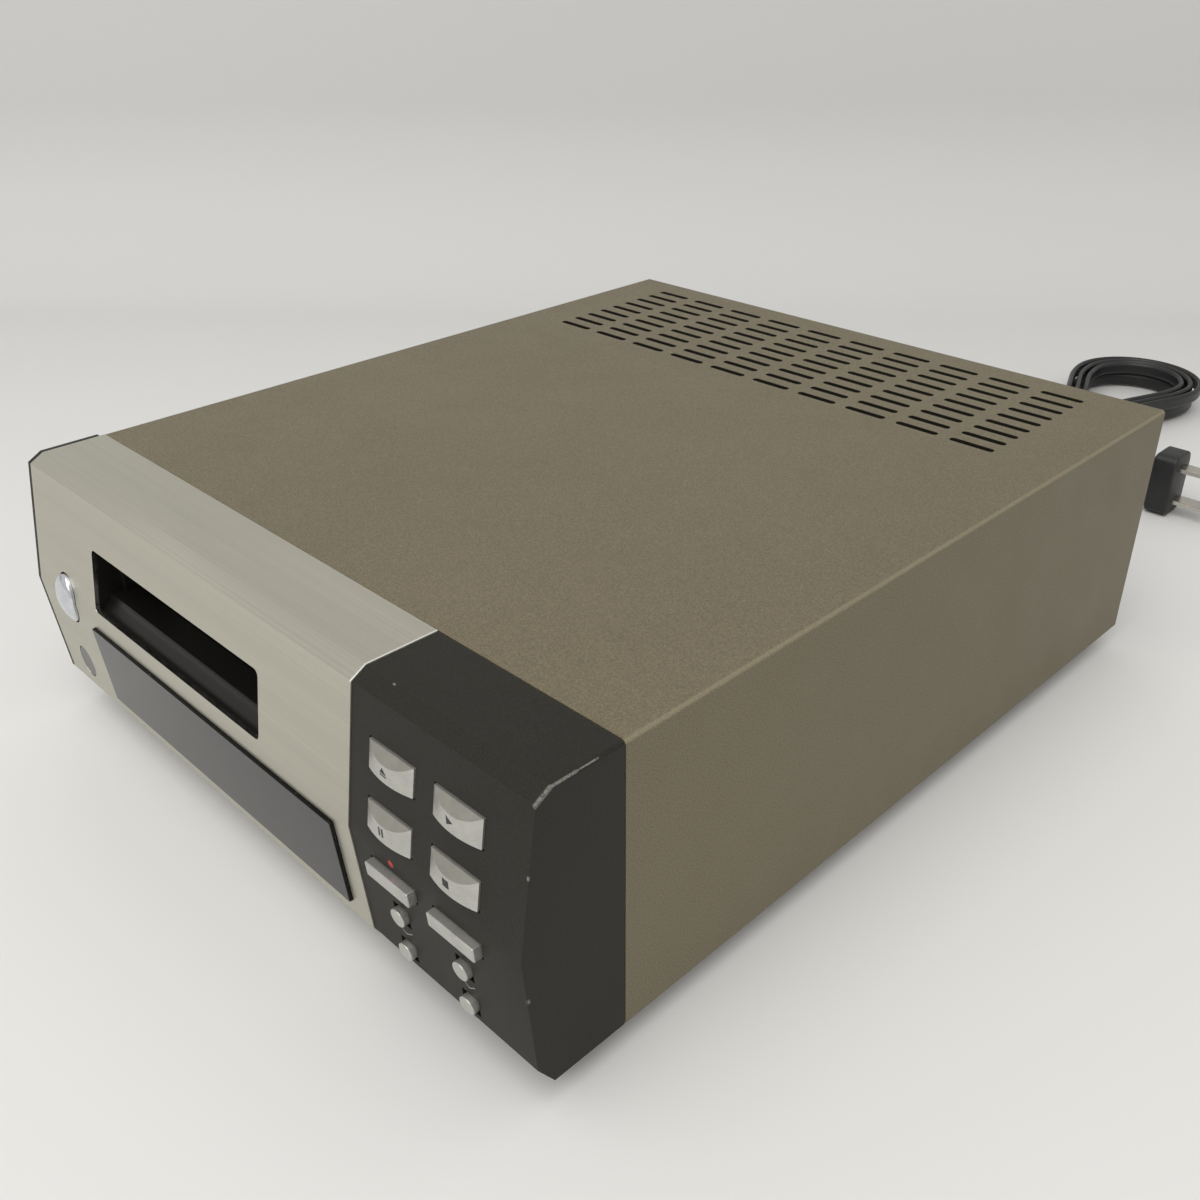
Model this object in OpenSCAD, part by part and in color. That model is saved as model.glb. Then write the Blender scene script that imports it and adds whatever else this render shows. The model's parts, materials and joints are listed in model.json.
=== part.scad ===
// Compact minidisc recorder: steel cover, two-part front panel, slot-loading disc drive inside.
// Row frame: X to the right seen from the front, Y towards the back, Z up, millimetres.
// The deck frame, used by most modules, has Y = 0 at the cover's front edge and Z = 0 under the cover.

/* [Cabinet] */
// Width of the steel cover
cover_w = 200; // [190:1:230]
// Height of the steel cover
cover_h = 70.2; // [68:0.1:80]
// Depth of the steel cover
cover_d = 217; // [212:1:250]
// Thickness of the cover's sheet
cover_t = 1; // [0.8:0.1:1.4]
// Outer radius of the cover's two top bends
cover_bend_r = 1.2; // [1.2:0.1:3]
// Width of the flanges that the cover turns in underneath
cover_flange_w = 10; // [8:0.5:14]
// Thickness of the tray that carries everything
tray_t = 1; // [0.8:0.1:1.6]
// Height of the tray's side walls
tray_wall_h = 9; // [6:0.5:14]
// Thickness of the rear panel
rear_t = 1; // [0.8:0.1:1.6]
// How far the rear panel lies inside the cover's back edge
rear_inset = 1; // [0.5:0.1:3]
// Clearance between the cover and what slides into it
cover_gap = 0.4; // [0.2:0.1:0.8]
// Height of the four feet below the cover
foot_h = 7; // [5:0.5:12]
// Radius of a foot
foot_r = 10; // [8:0.5:13]
// Distance of the feet inside the cover's sides
foot_x = 22; // [16:1:30]
// Distance of the front feet behind the cover's front edge
foot_front_y = 22; // [18:1:30]
// Distance of the rear feet in front of the cover's back edge
foot_rear_y = 22; // [18:1:30]

/* [Vents] */
// Columns of cooling slots in the cover
vent_columns = 10; // [4:1:10]
// Rows of cooling slots
vent_rows = 9; // [3:1:12]
// Length of one slot
vent_len = 13; // [8:0.5:14]
// Width of one slot
vent_w = 2.2; // [1:0.1:3]
// Distance from column to column
vent_pitch_x = 16.8; // [15:0.1:18]
// Distance from row to row
vent_pitch_y = 6.2; // [5:0.1:8]
// Distance of the last row from the cover's back edge
vent_back = 10; // [6:0.5:20]
// Sideways shift of the whole field of slots
vent_shift = -1.6; // [-4:0.1:4]

/* [Front panel] */
// Depth of the flat top of the front panel
brow_flat = 17.5; // [15:0.5:18]
// Depth of the bevel over the front face
brow_run = 3.6; // [2:0.1:5]
// Height of the bevel over the front face
brow_drop = 2; // [1:0.1:4]
// How far the crease stands in front of the cover
crease_out = 26; // [24:0.1:30]
// Height of the crease
crease_z = 36; // [35.8:0.1:36.4]
// How far the lower edge of the face stands in front of the cover
toe_out = 23.4; // [22.6:0.1:24]
// Height of the lower edge of the face
toe_z = 6.2; // [4.5:0.1:6.6]
// How far the panel's underside reaches in front of the cover
sole_out = 19.3; // [17:0.1:21]
// Thickness of the aluminium fascia
fascia_t = 1.2; // [1:0.1:1.5]
// How far the fascia stands proud of the dark moulding
fascia_proud = 0.3; // [0.1:0.1:0.5]
// Wall of the moulding behind the fascia
base_wall = 2.1; // [1.6:0.1:2.6]
// Thickness of the moulding's end walls
base_end_t = 1.4; // [1.2:0.1:2.5]
// Where the fascia ends and the dark control panel begins
fascia_end_x = 48.2; // [46:0.1:50]
// Rounding of the panel's upper right corner
corner_r = 0.8; // [0.5:0.1:4]
// Gap between neighbouring front parts
fit_gap = 0.1; // [0.05:0.05:0.2]

/* [Disc slot] */
// Middle of the disc slot from the deck's middle plane
slot_x = -25; // [-26:0.1:-24]
// Width of the opening in the fascia
slot_w = 79; // [77:0.5:80]
// Lower edge of the opening
slot_low_z = 39; // [38.5:0.1:40]
// Height of the opening
slot_h = 17; // [16:0.1:18]
// Rounding of the opening's corners
slot_r = 1.5; // [0.5:0.1:3]
// Wall of the black bezel behind the opening
bezel_t = 1.5; // [1.2:0.1:1.8]
// Depth of the hollow in the bezel's sill
sill_r = 3.4; // [2.5:0.1:4]
// Height of the flap that closes the slot
door_h = 11.5; // [10:0.1:12]
// Thickness of the flap
door_t = 1.4; // [1:0.1:2]
// Radius of the flap's hinge pins
door_pin_r = 1; // [0.8:0.1:1.3]
// Running clearance of pins and shafts, on the radius
run_gap = 0.05; // [0.02:0.01:0.09]

/* [Display] */
// Left edge of the display window
window_left = -67.3; // [-69:0.1:-66]
// Right edge of the display window
window_right = 42; // [40:0.1:43]
// Lower edge of the display window
window_low_z = 10.2; // [9.8:0.1:12]
// Upper edge of the display window
window_high_z = 33.3; // [32:0.1:33.8]
// Thickness of the smoked window
window_t = 1.8; // [1.2:0.1:2]
// How far the window's edge is hidden behind the fascia
window_lip = 1; // [0.5:0.1:1.2]
// How far the window stands proud of the fascia
window_proud = 0.9; // [0.2:0.1:1.2]
// Thickness of the fluorescent display tube
tube_t = 5.5; // [4:0.1:5.6]
// Width of the oval remote control window
sensor_w = 7.8; // [6:0.1:9]
// Height of the oval remote control window
sensor_h = 9.8; // [8:0.1:11]
// Sideways place of the remote control window
sensor_x = -84.5; // [-86:0.1:-82]
// Height of the middle of the remote control window
sensor_z = 14.2; // [13.5:0.1:15.5]

/* [Buttons] */
// Middle of the left column of buttons
column_1_x = 61.6; // [60.5:0.1:62.5]
// Middle of the right column of buttons
column_2_x = 81.3; // [80.5:0.1:82]
// Width of the holes for the wide buttons
key_hole_w = 14.4; // [13.5:0.1:15]
// Height of the holes for the four main buttons
key_hole_h = 7; // [6.5:0.1:7.5]
// Height of the middle of the upper main buttons
key_row_1_z = 56.2; // [55.5:0.1:56.8]
// Height of the middle of the lower main buttons
key_row_2_z = 43; // [42.5:0.1:43.5]
// How far the ridge of a main button stands in front of the panel in its middle
key_crown = 2; // [1.4:0.1:2.4]
// How much further the middle stands out than the ends
key_bulge = 1; // [0.6:0.1:1.4]
// How much a main button's face rises from its lower edge to the ridge
key_rise = 0.7; // [0.3:0.1:1]
// Height of the ridge above a main button's middle
key_ridge = 1.2; // [0.5:0.1:2]
// How far a main button's upper edge stands in front of the panel
key_top_out = 0.4; // [0.1:0.1:0.8]
// Height of the holes for the two bar buttons
bar_hole_h = 4.3; // [3.8:0.1:4.8]
// Height of the middle of the bar buttons
bar_z = 30; // [29.4:0.1:30.4]
// How far a bar button stands in front of the panel
bar_out = 2; // [1:0.1:2.3]
// Side of the square holes for the small round buttons
dot_hole = 5; // [4.8:0.1:5.6]
// Diameter of a small round button
dot_d = 4.4; // [3.8:0.1:4.6]
// Height of the middle of the upper small buttons
dot_row_1_z = 20; // [19.5:0.1:20.5]
// Height of the middle of the lower small buttons
dot_row_2_z = 10; // [9.6:0.1:10.4]
// How far a small button stands in front of the panel
dot_out = 1.4; // [0.8:0.1:2]
// Sideways place of the power button
power_x = -82; // [-83:0.1:-81]
// Height of the middle of the power button
power_z = 36; // [35.5:0.1:36.5]
// Width of the power button
power_w = 10; // [9:0.1:11]
// Height of the power button
power_h = 14; // [12:0.1:15]
// How far the power button's dome stands in front of the crease
power_out = 2.2; // [1:0.1:2.6]
// Clearance all round a button in its hole
key_gap = 0.35; // [0.25:0.05:0.5]
// How far a button travels when it is pressed
key_travel = 0.8; // [0.4:0.1:1]
// Width of the rim that keeps a button behind the panel
key_lip = 0.9; // [0.7:0.1:1]
// Thickness of that rim
key_lip_t = 1; // [0.8:0.1:1.2]
// Height of a push switch with its plunger
switch_h = 4.3; // [3.8:0.1:4.6]
// Thickness of the circuit boards
board_t = 1.6; // [1:0.1:2]

/* [Disc drive] */
// Width of a disc cartridge
disc_w = 72; // [72:0.1:72.4]
// Depth of a disc cartridge
disc_d = 68; // [68:0.1:68.4]
// Thickness of a disc cartridge
disc_t = 5; // [5:0.1:5.2]
// Clearance round the cartridge in its holder
disc_gap = 0.6; // [0.4:0.1:0.8]
// Thickness of the holder's sheet
holder_t = 1; // [0.8:0.1:1.2]
// How far the holder sinks onto the turntable
holder_drop = 5.5; // [5:0.1:5.6]
// How far the cam plate slides to sink the holder
cam_travel = 12; // [11:0.5:12]
// Thickness of the cam plate
cam_t = 1.2; // [1:0.1:1.5]
// Radius of the holder's guide pins
guide_pin_r = 1.2; // [1:0.1:1.4]
// Thickness of the drive's base plate
drive_t = 1.5; // [1.2:0.1:2]
// Height of the drive's base plate above the tray
drive_lift = 27; // [26:0.5:28]
// Height of the rubber dampers under the drive
damper_h = 3; // [2.5:0.1:4]
// Module of the drive's gears
gear_m = 0.7; // [0.65:0.05:0.75]
// Teeth on the small gears
small_teeth = 12; // [12:1:13]
// Teeth on the loading wheel
wheel_teeth = 30; // [28:2:30]
// Play left in a tooth gap
gear_play = 0.1; // [0.06:0.01:0.14]
// Radius of the loading and sled motors
motor_r = 8; // [7:0.5:8.5]
// Length of the loading and sled motors
motor_h = 20; // [14:1:22]
// Radius of the motor shafts
shaft_r = 1; // [0.8:0.1:1.2]
// Radius of the spindle motor
spindle_r = 13; // [11:0.5:13]
// Height of the spindle motor
spindle_h = 5; // [4:0.1:5.2]
// Radius of the turntable
turntable_r = 10.5; // [9:0.5:12]
// Height of the turntable
turntable_h = 3.4; // [3:0.1:3.6]
// Radius of the sled's guide rods
rod_r = 1.5; // [1.2:0.1:1.8]
// Distance between the guide rods
rod_span = 36; // [35:0.5:38]
// How far the pickup sled travels
sled_travel = 15; // [12:0.5:15]

/* [Boards and rear] */
// Height of the main board above the tray
board_lift = 7; // [6:0.5:9]
// Width of the main board
board_w = 116; // [112:1:118]
// Depth of the main board
board_d = 92; // [90:1:94]
// Width of the transformer's core
core_w = 50; // [46:1:52]
// Height of the transformer's core
core_h = 42; // [38:1:44]
// Thickness of the transformer's stack of plates
core_d = 28; // [24:1:30]
// Outer radius of a line jack
jack_r = 4.15; // [4:0.05:4.3]
// How far the line jacks stand behind the rear panel
jack_out = 9; // [8:0.5:10]
// Distance between neighbouring line jacks
jack_pitch = 14; // [13:0.5:15]
// Radius of the hole in the control jack
control_bore_r = 1.8; // [1.75:0.05:1.9]

/* [Mains cord] */
// Width of the flat twin mains cord
cord_w = 5.6; // [5.2:0.1:6]
// Thickness of the flat twin mains cord
cord_t = 2.8; // [2.6:0.1:3]
// Length of the strain relief behind the rear panel
relief_len = 24; // [20:1:26]
// Length of a plug blade
blade_len = 18; // [16:0.5:18]
// Width of a plug blade
blade_w = 6.35; // [6:0.05:6.5]
// Thickness of a plug blade
blade_t = 1.5; // [1.4:0.1:1.7]
// Distance between the plug blades
blade_pitch = 12.7; // [12.5:0.1:13]

/* [Hidden] */
$fn = 48;

// ---- colours ----
bronze = [0.46, 0.42, 0.35];
zinc = [0.68, 0.68, 0.66];
charcoal = [0.22, 0.22, 0.21];
silver = [0.68, 0.66, 0.61];
satin = [0.74, 0.74, 0.72];
black = [0.08, 0.08, 0.08];
smoke = [0.16, 0.17, 0.18];
board_green = [0.13, 0.35, 0.22];
white_nylon = [0.88, 0.88, 0.84];
brass = [0.75, 0.62, 0.32];

// ---- cabinet, deck frame ----
eps = 0.01;
inner_x = cover_w / 2 - cover_t - cover_gap;
tray_top = cover_t + tray_t;
rear_back_y = cover_d - rear_inset;
rear_front_y = rear_back_y - rear_t;
tray_front_y = 1;
roof_z = cover_h - cover_t;

// ---- front panel, deck frame ----
brow_out = brow_flat + brow_run;
brow_z = cover_h - brow_drop;
upper_slope = (crease_out - brow_out) / (brow_z - crease_z);
lower_slope = (crease_out - toe_out) / (crease_z - toe_z);
upper_tilt = atan(upper_slope);
lower_tilt = atan(lower_slope);
recess = fascia_t - fascia_proud + fit_gap;
skin = recess + base_wall;
base_back_y = -0.3;
end_cap_back_y = -1.9;

// Y of the dark panel's outer face at a height
function face_y(z) = -crease_out + (z > crease_z ? (z - crease_z) * upper_slope : (crease_z - z) * lower_slope);
// Y of a surface a depth t behind the outer face, at a height
function deep_y(z, t) = face_y(z) + t / cos(z > crease_z ? upper_tilt : lower_tilt);

// Outward unit normal of the edge from a to b of an anticlockwise outline
function edge_normal(a, b) = [b[1] - a[1], a[0] - b[0]] / norm(b - a);
// An anticlockwise outline moved inwards by t, edge by edge
function inset(points, t) = [
    for (i = [0 : len(points) - 1])
        let (before = points[(i + len(points) - 1) % len(points)],
            after = points[(i + 1) % len(points)],
            n1 = edge_normal(before, points[i]),
            n2 = edge_normal(points[i], after))
            points[i] - t * (n1 + n2) / (1 + n1 * n2)
];
// Side outline of the front panel in (Y, Z), a depth t inside its outer face and open at the back
function nose(t, back_y) = inset([
    [-sole_out, 0], [back_y + t, 0], [back_y + t, cover_h], [-brow_flat, cover_h],
    [-brow_out, brow_z], [-crease_out, crease_z], [-toe_out, toe_z]
], t);

// Height of the inner corner at the foot of the moulding's wall
skin_toe_z = nose(skin, 0)[6][1];

// ---- buttons, deck frame ----
key_w = key_hole_w - 2 * key_gap;
key_h = key_hole_h - 2 * key_gap;
bar_h = bar_hole_h - 2 * key_gap;
key_crown_r = (key_w * key_w / 4 + key_bulge * key_bulge) / (2 * key_bulge);
face_tilt = atan(key_rise / (key_h / 2 + key_ridge));
facet_tilt = atan((key_crown - key_top_out) / (key_h / 2 - key_ridge));
key_board_y = -9;
display_board_y = -14;
press_gap = key_travel + 0.2;

// ---- whole object: its box is centred on the row frame's origin ----
front_reach = max(crease_out + power_out, -face_y(bar_z + bar_h / 2) + bar_out / cos(lower_tilt));
deck_y = (front_reach - rear_back_y - jack_out) / 2;

// ---- disc drive, deck frame ----
tray_to_drive = tray_top + drive_lift;
drive_z = tray_to_drive + drive_t;
holder_in_w = disc_w + 2 * disc_gap;
holder_w = holder_in_w + 2 * holder_t;
holder_y = 2;
holder_d = disc_d + 6;
disc_low_z = drive_z + 14.5;
holder_low_z = disc_low_z - holder_t;
holder_in_h = disc_t + disc_gap;
holder_top_z = disc_low_z + holder_in_h + holder_t;
spindle_y = 42;
holder_left_x = slot_x - holder_w / 2;
cam_x = holder_left_x - 4;
cam_low_z = drive_z + 7.5;
cam_high_z = holder_top_z + 1;
cam_pin_z = disc_low_z + 2.5;
cam_pin_y = [20, 66];
small_r = gear_m * small_teeth / 2;
wheel_r = gear_m * wheel_teeth / 2;
mesh_gap = 0.08;
rack_x = cam_x - 2.6;
wheel_x = rack_x - small_r - mesh_gap;
wheel_y = 30;
pinion_angle = 110;
pinion_reach = wheel_r + small_r + mesh_gap;
pinion_x = wheel_x + pinion_reach * cos(pinion_angle);
pinion_y = wheel_y + pinion_reach * sin(pinion_angle);
rod_z = drive_z + 3.6;
sled_y = spindle_y + spindle_r + 1.5;
sled_d = 18;
sled_low_z = drive_z + 0.8;
sled_high_z = drive_z + 6.6;
sled_side_x = slot_x + rod_span / 2 + rod_r + 2.4;
sled_rack_x = sled_side_x + 2;
sled_pinion_x = sled_rack_x + small_r + mesh_gap;
sled_pinion_y = sled_y + 20;
sled_teeth = ceil(sled_travel / (PI * gear_m)) + 6;
arm_y = sled_y + sled_d + 12;
arm_z = holder_top_z - 1.6;
drive_left_x = pinion_x - motor_r - 1;
drive_right_x = slot_x + holder_w / 2 + 16;
drive_front_y = 6;
drive_back_y = 110;
bracket_x = [holder_left_x + 1.6, slot_x + holder_w / 2 + 8.4];

// ---- boards, deck frame ----
board_z = tray_top + board_lift;
board_top_z = board_z + board_t;
board_left_x = -inner_x + 8;
board_back_y = rear_front_y - 8;
board_front_y = board_back_y - board_d;
core_x = inner_x - core_w / 2 - 15.6;
core_y = rear_front_y - 60;
core_z = tray_top + 1.2;
control_x = board_left_x + 82.6;
optical_x = [board_left_x + 44.6, board_left_x + 60.6];
control_z = board_top_z + 6.5;
jack_x = board_left_x + 9.5;
jack_z = board_top_z + 8;

// ---- mains cord and plug, row frame: round numbers chosen by hand ----
exit_x = 62;
exit_z = 20;
relief_y = rear_back_y + deck_y;
hank_x = 11;
hank_near_y = 235;
hank_far_y = 327;
hank_low_z = 3.7;
hank_rise = 6.2;
hank_r = 26;
hank_step = 3.8;
hank_waist = 12;
hank_turns = 4.625;
hank_reverse = 2.125;
hank_mid_y = (hank_near_y + hank_far_y) / 2;
hank_end_x = hank_x + hank_r + (hank_turns - 2 * hank_reverse) * hank_step - hank_waist;
cord_exit_path = [
    [exit_x, relief_y + relief_len, exit_z], [62, 148, 20], [62, 154, 19.2], [60, 163, 16.4],
    [55, 171, 12.3], [47, 177, 8.2], [38, 180, 5.2], [28, 181, 3.8], [18, 182, 3.4], [9, 184, 3.2],
    [1, 188, 3.2], [-6, 194, 3.2], [-11, 202, 3.3], [-14, 211, 3.5], [-15, 220, 3.7], [-15, 228, 3.7],
    [hank_x - hank_r, hank_near_y, hank_low_z]
];
cord_exit_roll = [0, 0, 0, 10, 25, 45, 65, 80, 90, 90, 90, 90, 90, 90, 90, 90, 90];
plug_y = 224;
plug_z = 12;
plug_tail_x = 56;
plug_face_x = 74;
plug_path = [
    [hank_end_x, hank_mid_y, hank_low_z + hank_rise], [27.2, 274, 9.9], [29.8, 266, 10], [33.2, 257, 10.2],
    [37, 248, 10.6], [40.2, 239.6, 11.2], [43.6, 231.8, 11.8], [47.6, 226.8, 12], [51.6, 224.4, 12],
    [plug_tail_x, plug_y, plug_z]
];
plug_roll = [90, 90, 90, 90, 90, 90, 90, 90, 90, 90];

// Puts a child given in the deck frame into the row frame
module at_deck() translate([0, deck_y, foot_h]) children();
// A box from its low corner to its high corner
module block(low, high) translate(low) cube(high - low);
// A box symmetric about a plane X = x
module wide_block(x, w, low_yz, high_yz)
    block([x - w / 2, low_yz[0], low_yz[1]], [x + w / 2, high_yz[0], high_yz[1]]);
// A rectangle with round corners, centred
module soft_rect(w, h, r) {
    square([w - 2 * r, h], center = true);
    square([w, h - 2 * r], center = true);
    for (sx = [-1, 1], sy = [-1, 1])
        translate([sx * (w / 2 - r), sy * (h / 2 - r)]) circle(r);
}
// A (Y, Z) outline extruded along X from x0 to x1
module along_x(x0, x1) translate([x0, 0, 0]) rotate([90, 0, 90]) linear_extrude(x1 - x0) children();
// An (X, Z) outline extruded along Y from y0 to y1
module along_y(y0, y1) translate([0, y1, 0]) rotate([90, 0, 0]) linear_extrude(y1 - y0) children();
// A rod along X or Y
module rod_x(x0, x1, y, z, r) translate([x0, y, z]) rotate([0, 90, 0]) cylinder(x1 - x0, r, r);
module rod_y(x, y0, y1, z, r) translate([x, y0, z]) rotate([-90, 0, 0]) cylinder(y1 - y0, r, r);
// Part of the front panel's block between two planes X, a depth t inside its outer face
module nose_block(x0, x1, t, back_y) along_x(x0, x1) polygon(nose(t, back_y));

// ---- gears ----
pressure = 25;
function involute(a) = tan(a) - a * PI / 180;
// Half angle of a tooth at a radius, in degrees
function tooth_angle(teeth, radius) =
    let (pitch_r = gear_m * teeth / 2,
        base_r = pitch_r * cos(pressure),
        half = (PI * gear_m / 2 - gear_play) / 2 / pitch_r,
        at = radius > base_r ? involute(acos(base_r / radius)) : 0)
        (half + involute(pressure) - at) * 180 / PI;
// Radii at which a flank is drawn, from root to tip
function flank_radii(teeth) =
    let (pitch_r = gear_m * teeth / 2, base_r = pitch_r * cos(pressure), tip_r = pitch_r + 0.9 * gear_m)
        [pitch_r - 1.25 * gear_m, max(base_r, pitch_r - 1.2 * gear_m), pitch_r - 0.2 * gear_m,
            pitch_r + 0.35 * gear_m, tip_r];
// Outline of a gear with a tooth centred at the angle phase
module gear_outline(teeth, phase) {
    radii = flank_radii(teeth);
    polygon([
        for (k = [0 : teeth - 1], side = [-1, 1], i = [0 : len(radii) - 1])
            let (r = radii[side < 0 ? i : len(radii) - 1 - i],
                a = phase + 360 * k / teeth + side * tooth_angle(teeth, r))
                r * [cos(a), sin(a)]
    ]);
}
// Outline of a rack along X from 0 to its length, teeth pointing to +Y with the pitch line at Y = 0
module rack_outline(count, depth) {
    pitch = PI * gear_m;
    top_half = pitch / 4 - gear_play / 2 - 0.9 * gear_m * tan(pressure);
    foot_half = pitch / 4 - gear_play / 2 + 1.2 * gear_m * tan(pressure);
    union() {
        translate([-count / 2 * pitch, -depth]) square([count * pitch, depth - 1.2 * gear_m + eps]);
        for (i = [0 : count - 1])
            translate([(i - (count - 1) / 2) * pitch, 0])
                polygon([[-foot_half, -1.2 * gear_m], [foot_half, -1.2 * gear_m],
                    [top_half, 0.9 * gear_m], [-top_half, 0.9 * gear_m]]);
    }
}

// ---- cabinet ----
module cover_outline(shrink) {
    r = cover_bend_r - shrink;
    w = cover_w / 2 - shrink;
    top = cover_h - shrink;
    translate([-w, shrink]) square([2 * w, top - shrink - r]);
    translate([-w + r, shrink]) square([2 * (w - r), top - shrink]);
    for (s = [-1, 1]) translate([s * (w - r), top - r]) circle(r);
}
module vent_field() {
    for (column = [0 : vent_columns - 1], row = [0 : vent_rows - 1])
        translate([
            vent_shift + (column - (vent_columns - 1) / 2) * vent_pitch_x,
            cover_d - vent_back - row * vent_pitch_y, roof_z - 1
        ])
            linear_extrude(cover_t + 2) {
                square([vent_len - vent_w, vent_w], center = true);
                for (s = [-1, 1]) translate([s * (vent_len - vent_w) / 2, 0]) circle(vent_w / 2, $fn = 24);
            }
}
module at_cover_screws()
    for (s = [-1, 1], y = [cover_d * 0.3, cover_d * 0.8])
        translate([s * (cover_w / 2 - cover_flange_w / 2), y, 0]) children();
module top_cover() color(bronze) at_deck() difference() {
    along_y(0, cover_d) cover_outline(0);
    along_y(-1, cover_d + 1) cover_outline(cover_t);
    wide_block(0, cover_w - 2 * cover_flange_w, [-1, -1], [cover_d + 1, cover_t + 1]);
    vent_field();
    at_cover_screws() translate([0, 0, -1]) cylinder(cover_t + 2, 1.7, 1.7);
}
module at_board_posts()
    for (x = [board_left_x + 5, board_left_x + board_w - 5], y = [board_front_y + 5, board_back_y - 24])
        translate([x, y, tray_top]) children();
module at_feet()
    for (s = [-1, 1], y = [foot_front_y, cover_d - foot_rear_y])
        translate([s * (cover_w / 2 - foot_x), y, 0]) children();
module at_core_screws()
    for (s = [-1, 1]) translate([core_x + s * (core_w / 2 + 5), core_y + core_d / 2, 0]) children();
module at_bracket_screws()
    for (x = bracket_x, y = [drive_front_y + 24, drive_back_y - 20])
        translate([x, y, 0]) children();
module at_base_tabs() for (x = [-inner_x + 14, slot_x - 13, window_right, inner_x - 10]) translate([x, 0, 0]) children();
module at_rear_flange_screws() for (x = [slot_x - 25, slot_x + 55]) translate([x, rear_front_y - 5, 0]) children();
module chassis_tray() color(zinc) at_deck() difference() {
    union() {
        block([-inner_x, tray_front_y, cover_t], [inner_x, rear_front_y, tray_top]);
        for (s = [-1, 1])
            wide_block(s * (inner_x - tray_t / 2), tray_t, [tray_front_y, cover_t],
                [rear_front_y, tray_top + tray_wall_h]);
        at_board_posts() cylinder(board_lift, 3, 3);
    }
    at_board_posts() translate([0, 0, -2]) cylinder(board_lift + 4, 1.3, 1.3);
    at_feet() cylinder(tray_top + 1, 1.6, 1.6);
    at_cover_screws() cylinder(tray_top + 1, 1.3, 1.3);
    at_core_screws() cylinder(tray_top + 1, 1.3, 1.3);
    at_bracket_screws() cylinder(tray_top + 1, 1.3, 1.3);
    at_rear_flange_screws() cylinder(tray_top + 1, 1.3, 1.3);
    at_base_tabs() translate([0, 7, 0]) cylinder(tray_top + 1, 1.3, 1.3);
}
module at_jacks() for (i = [0, 1], j = [0, 1])
    translate([jack_x + i * jack_pitch, 0, jack_z + j * jack_pitch]) children();
module rear_panel() color(charcoal) at_deck() difference() {
    union() {
        wide_block(0, 2 * inner_x, [rear_front_y, cover_t], [rear_back_y, roof_z - cover_gap]);
        wide_block(0, 2 * inner_x - 30, [rear_front_y - 10, tray_top], [rear_front_y, tray_top + rear_t]);
    }
    at_jacks() rod_y(0, rear_front_y - 1, rear_back_y + 1, 0, jack_r + 0.6);
    for (x = optical_x) wide_block(x, 9.6, [rear_front_y - 1, board_top_z + 2.2], [rear_back_y + 1, board_top_z + 11.8]);
    rod_y(control_x, rear_front_y - 1, rear_back_y + 1, control_z, 4.4);
    rod_y(exit_x, rear_front_y - 1, rear_back_y + 1, exit_z - foot_h, 5.2);
    at_rear_flange_screws() cylinder(tray_top + rear_t + 1, 1.6, 1.6);
    for (x = [exit_x - 22 : 7 : exit_x + 22])
        wide_block(x, 2, [rear_front_y - 1, roof_z - 24], [rear_back_y + 1, roof_z - 8]);
}
module feet() color(black) at_deck() at_feet() difference() {
    translate([0, 0, -foot_h]) union() {
        cylinder(foot_h - 1, foot_r, foot_r);
        cylinder(foot_h + cover_t, foot_r - 1.5, foot_r - 1.5);
    }
    translate([0, 0, -foot_h - 1]) cylinder(foot_h - 2, 3.6, 3.6);
    translate([0, 0, -foot_h - 1]) cylinder(foot_h + 4, 1.6, 1.6);
}

// ---- front panel ----
module oval(w, h) polygon([for (a = [0 : 7.5 : 352.5]) [w / 2 * cos(a), h / 2 * sin(a)]]);
// Prism through the whole front at an oval, a hole or a rectangle
module front_prism(x, z) along_y(-crease_out - 5, 1) translate([x, z]) children();
module slot_prism(grow) front_prism(slot_x, slot_low_z + slot_h / 2)
    soft_rect(slot_w + 2 * grow, slot_h + 2 * grow, slot_r);
module window_prism(grow) front_prism((window_left + window_right) / 2, (window_low_z + window_high_z) / 2)
    square([window_right - window_left + 2 * grow, window_high_z - window_low_z + 2 * grow], center = true);
module sensor_prism(grow) front_prism(sensor_x, sensor_z) oval(sensor_w + 2 * grow, sensor_h + 2 * grow);
module power_prism(grow) front_prism(power_x, power_z) oval(power_w + 2 * grow, power_h + 2 * grow);
module silver_fascia() color(silver) at_deck() difference() {
    nose_block(-cover_w / 2 + base_end_t, fascia_end_x, -fascia_proud, base_back_y);
    nose_block(-cover_w / 2, fascia_end_x + 1, fascia_t - fascia_proud, 1);
    block([-cover_w, -sole_out + 6, -2], [cover_w, 2, cover_h / 2]);
    slot_prism(0);
    window_prism(0);
    sensor_prism(0);
    power_prism(key_gap);
}
module control_holes() {
    for (x = [column_1_x, column_2_x]) {
        for (z = [key_row_1_z, key_row_2_z]) front_prism(x, z) square([key_hole_w, key_hole_h], center = true);
        front_prism(x, bar_z) square([key_hole_w, bar_hole_h], center = true);
        for (z = [dot_row_1_z, dot_row_2_z]) front_prism(x, z) square(dot_hole, center = true);
    }
}
module front_base() color(charcoal) at_deck() {
    base_shell();
    at_base_tabs() base_tab();
}
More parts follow.
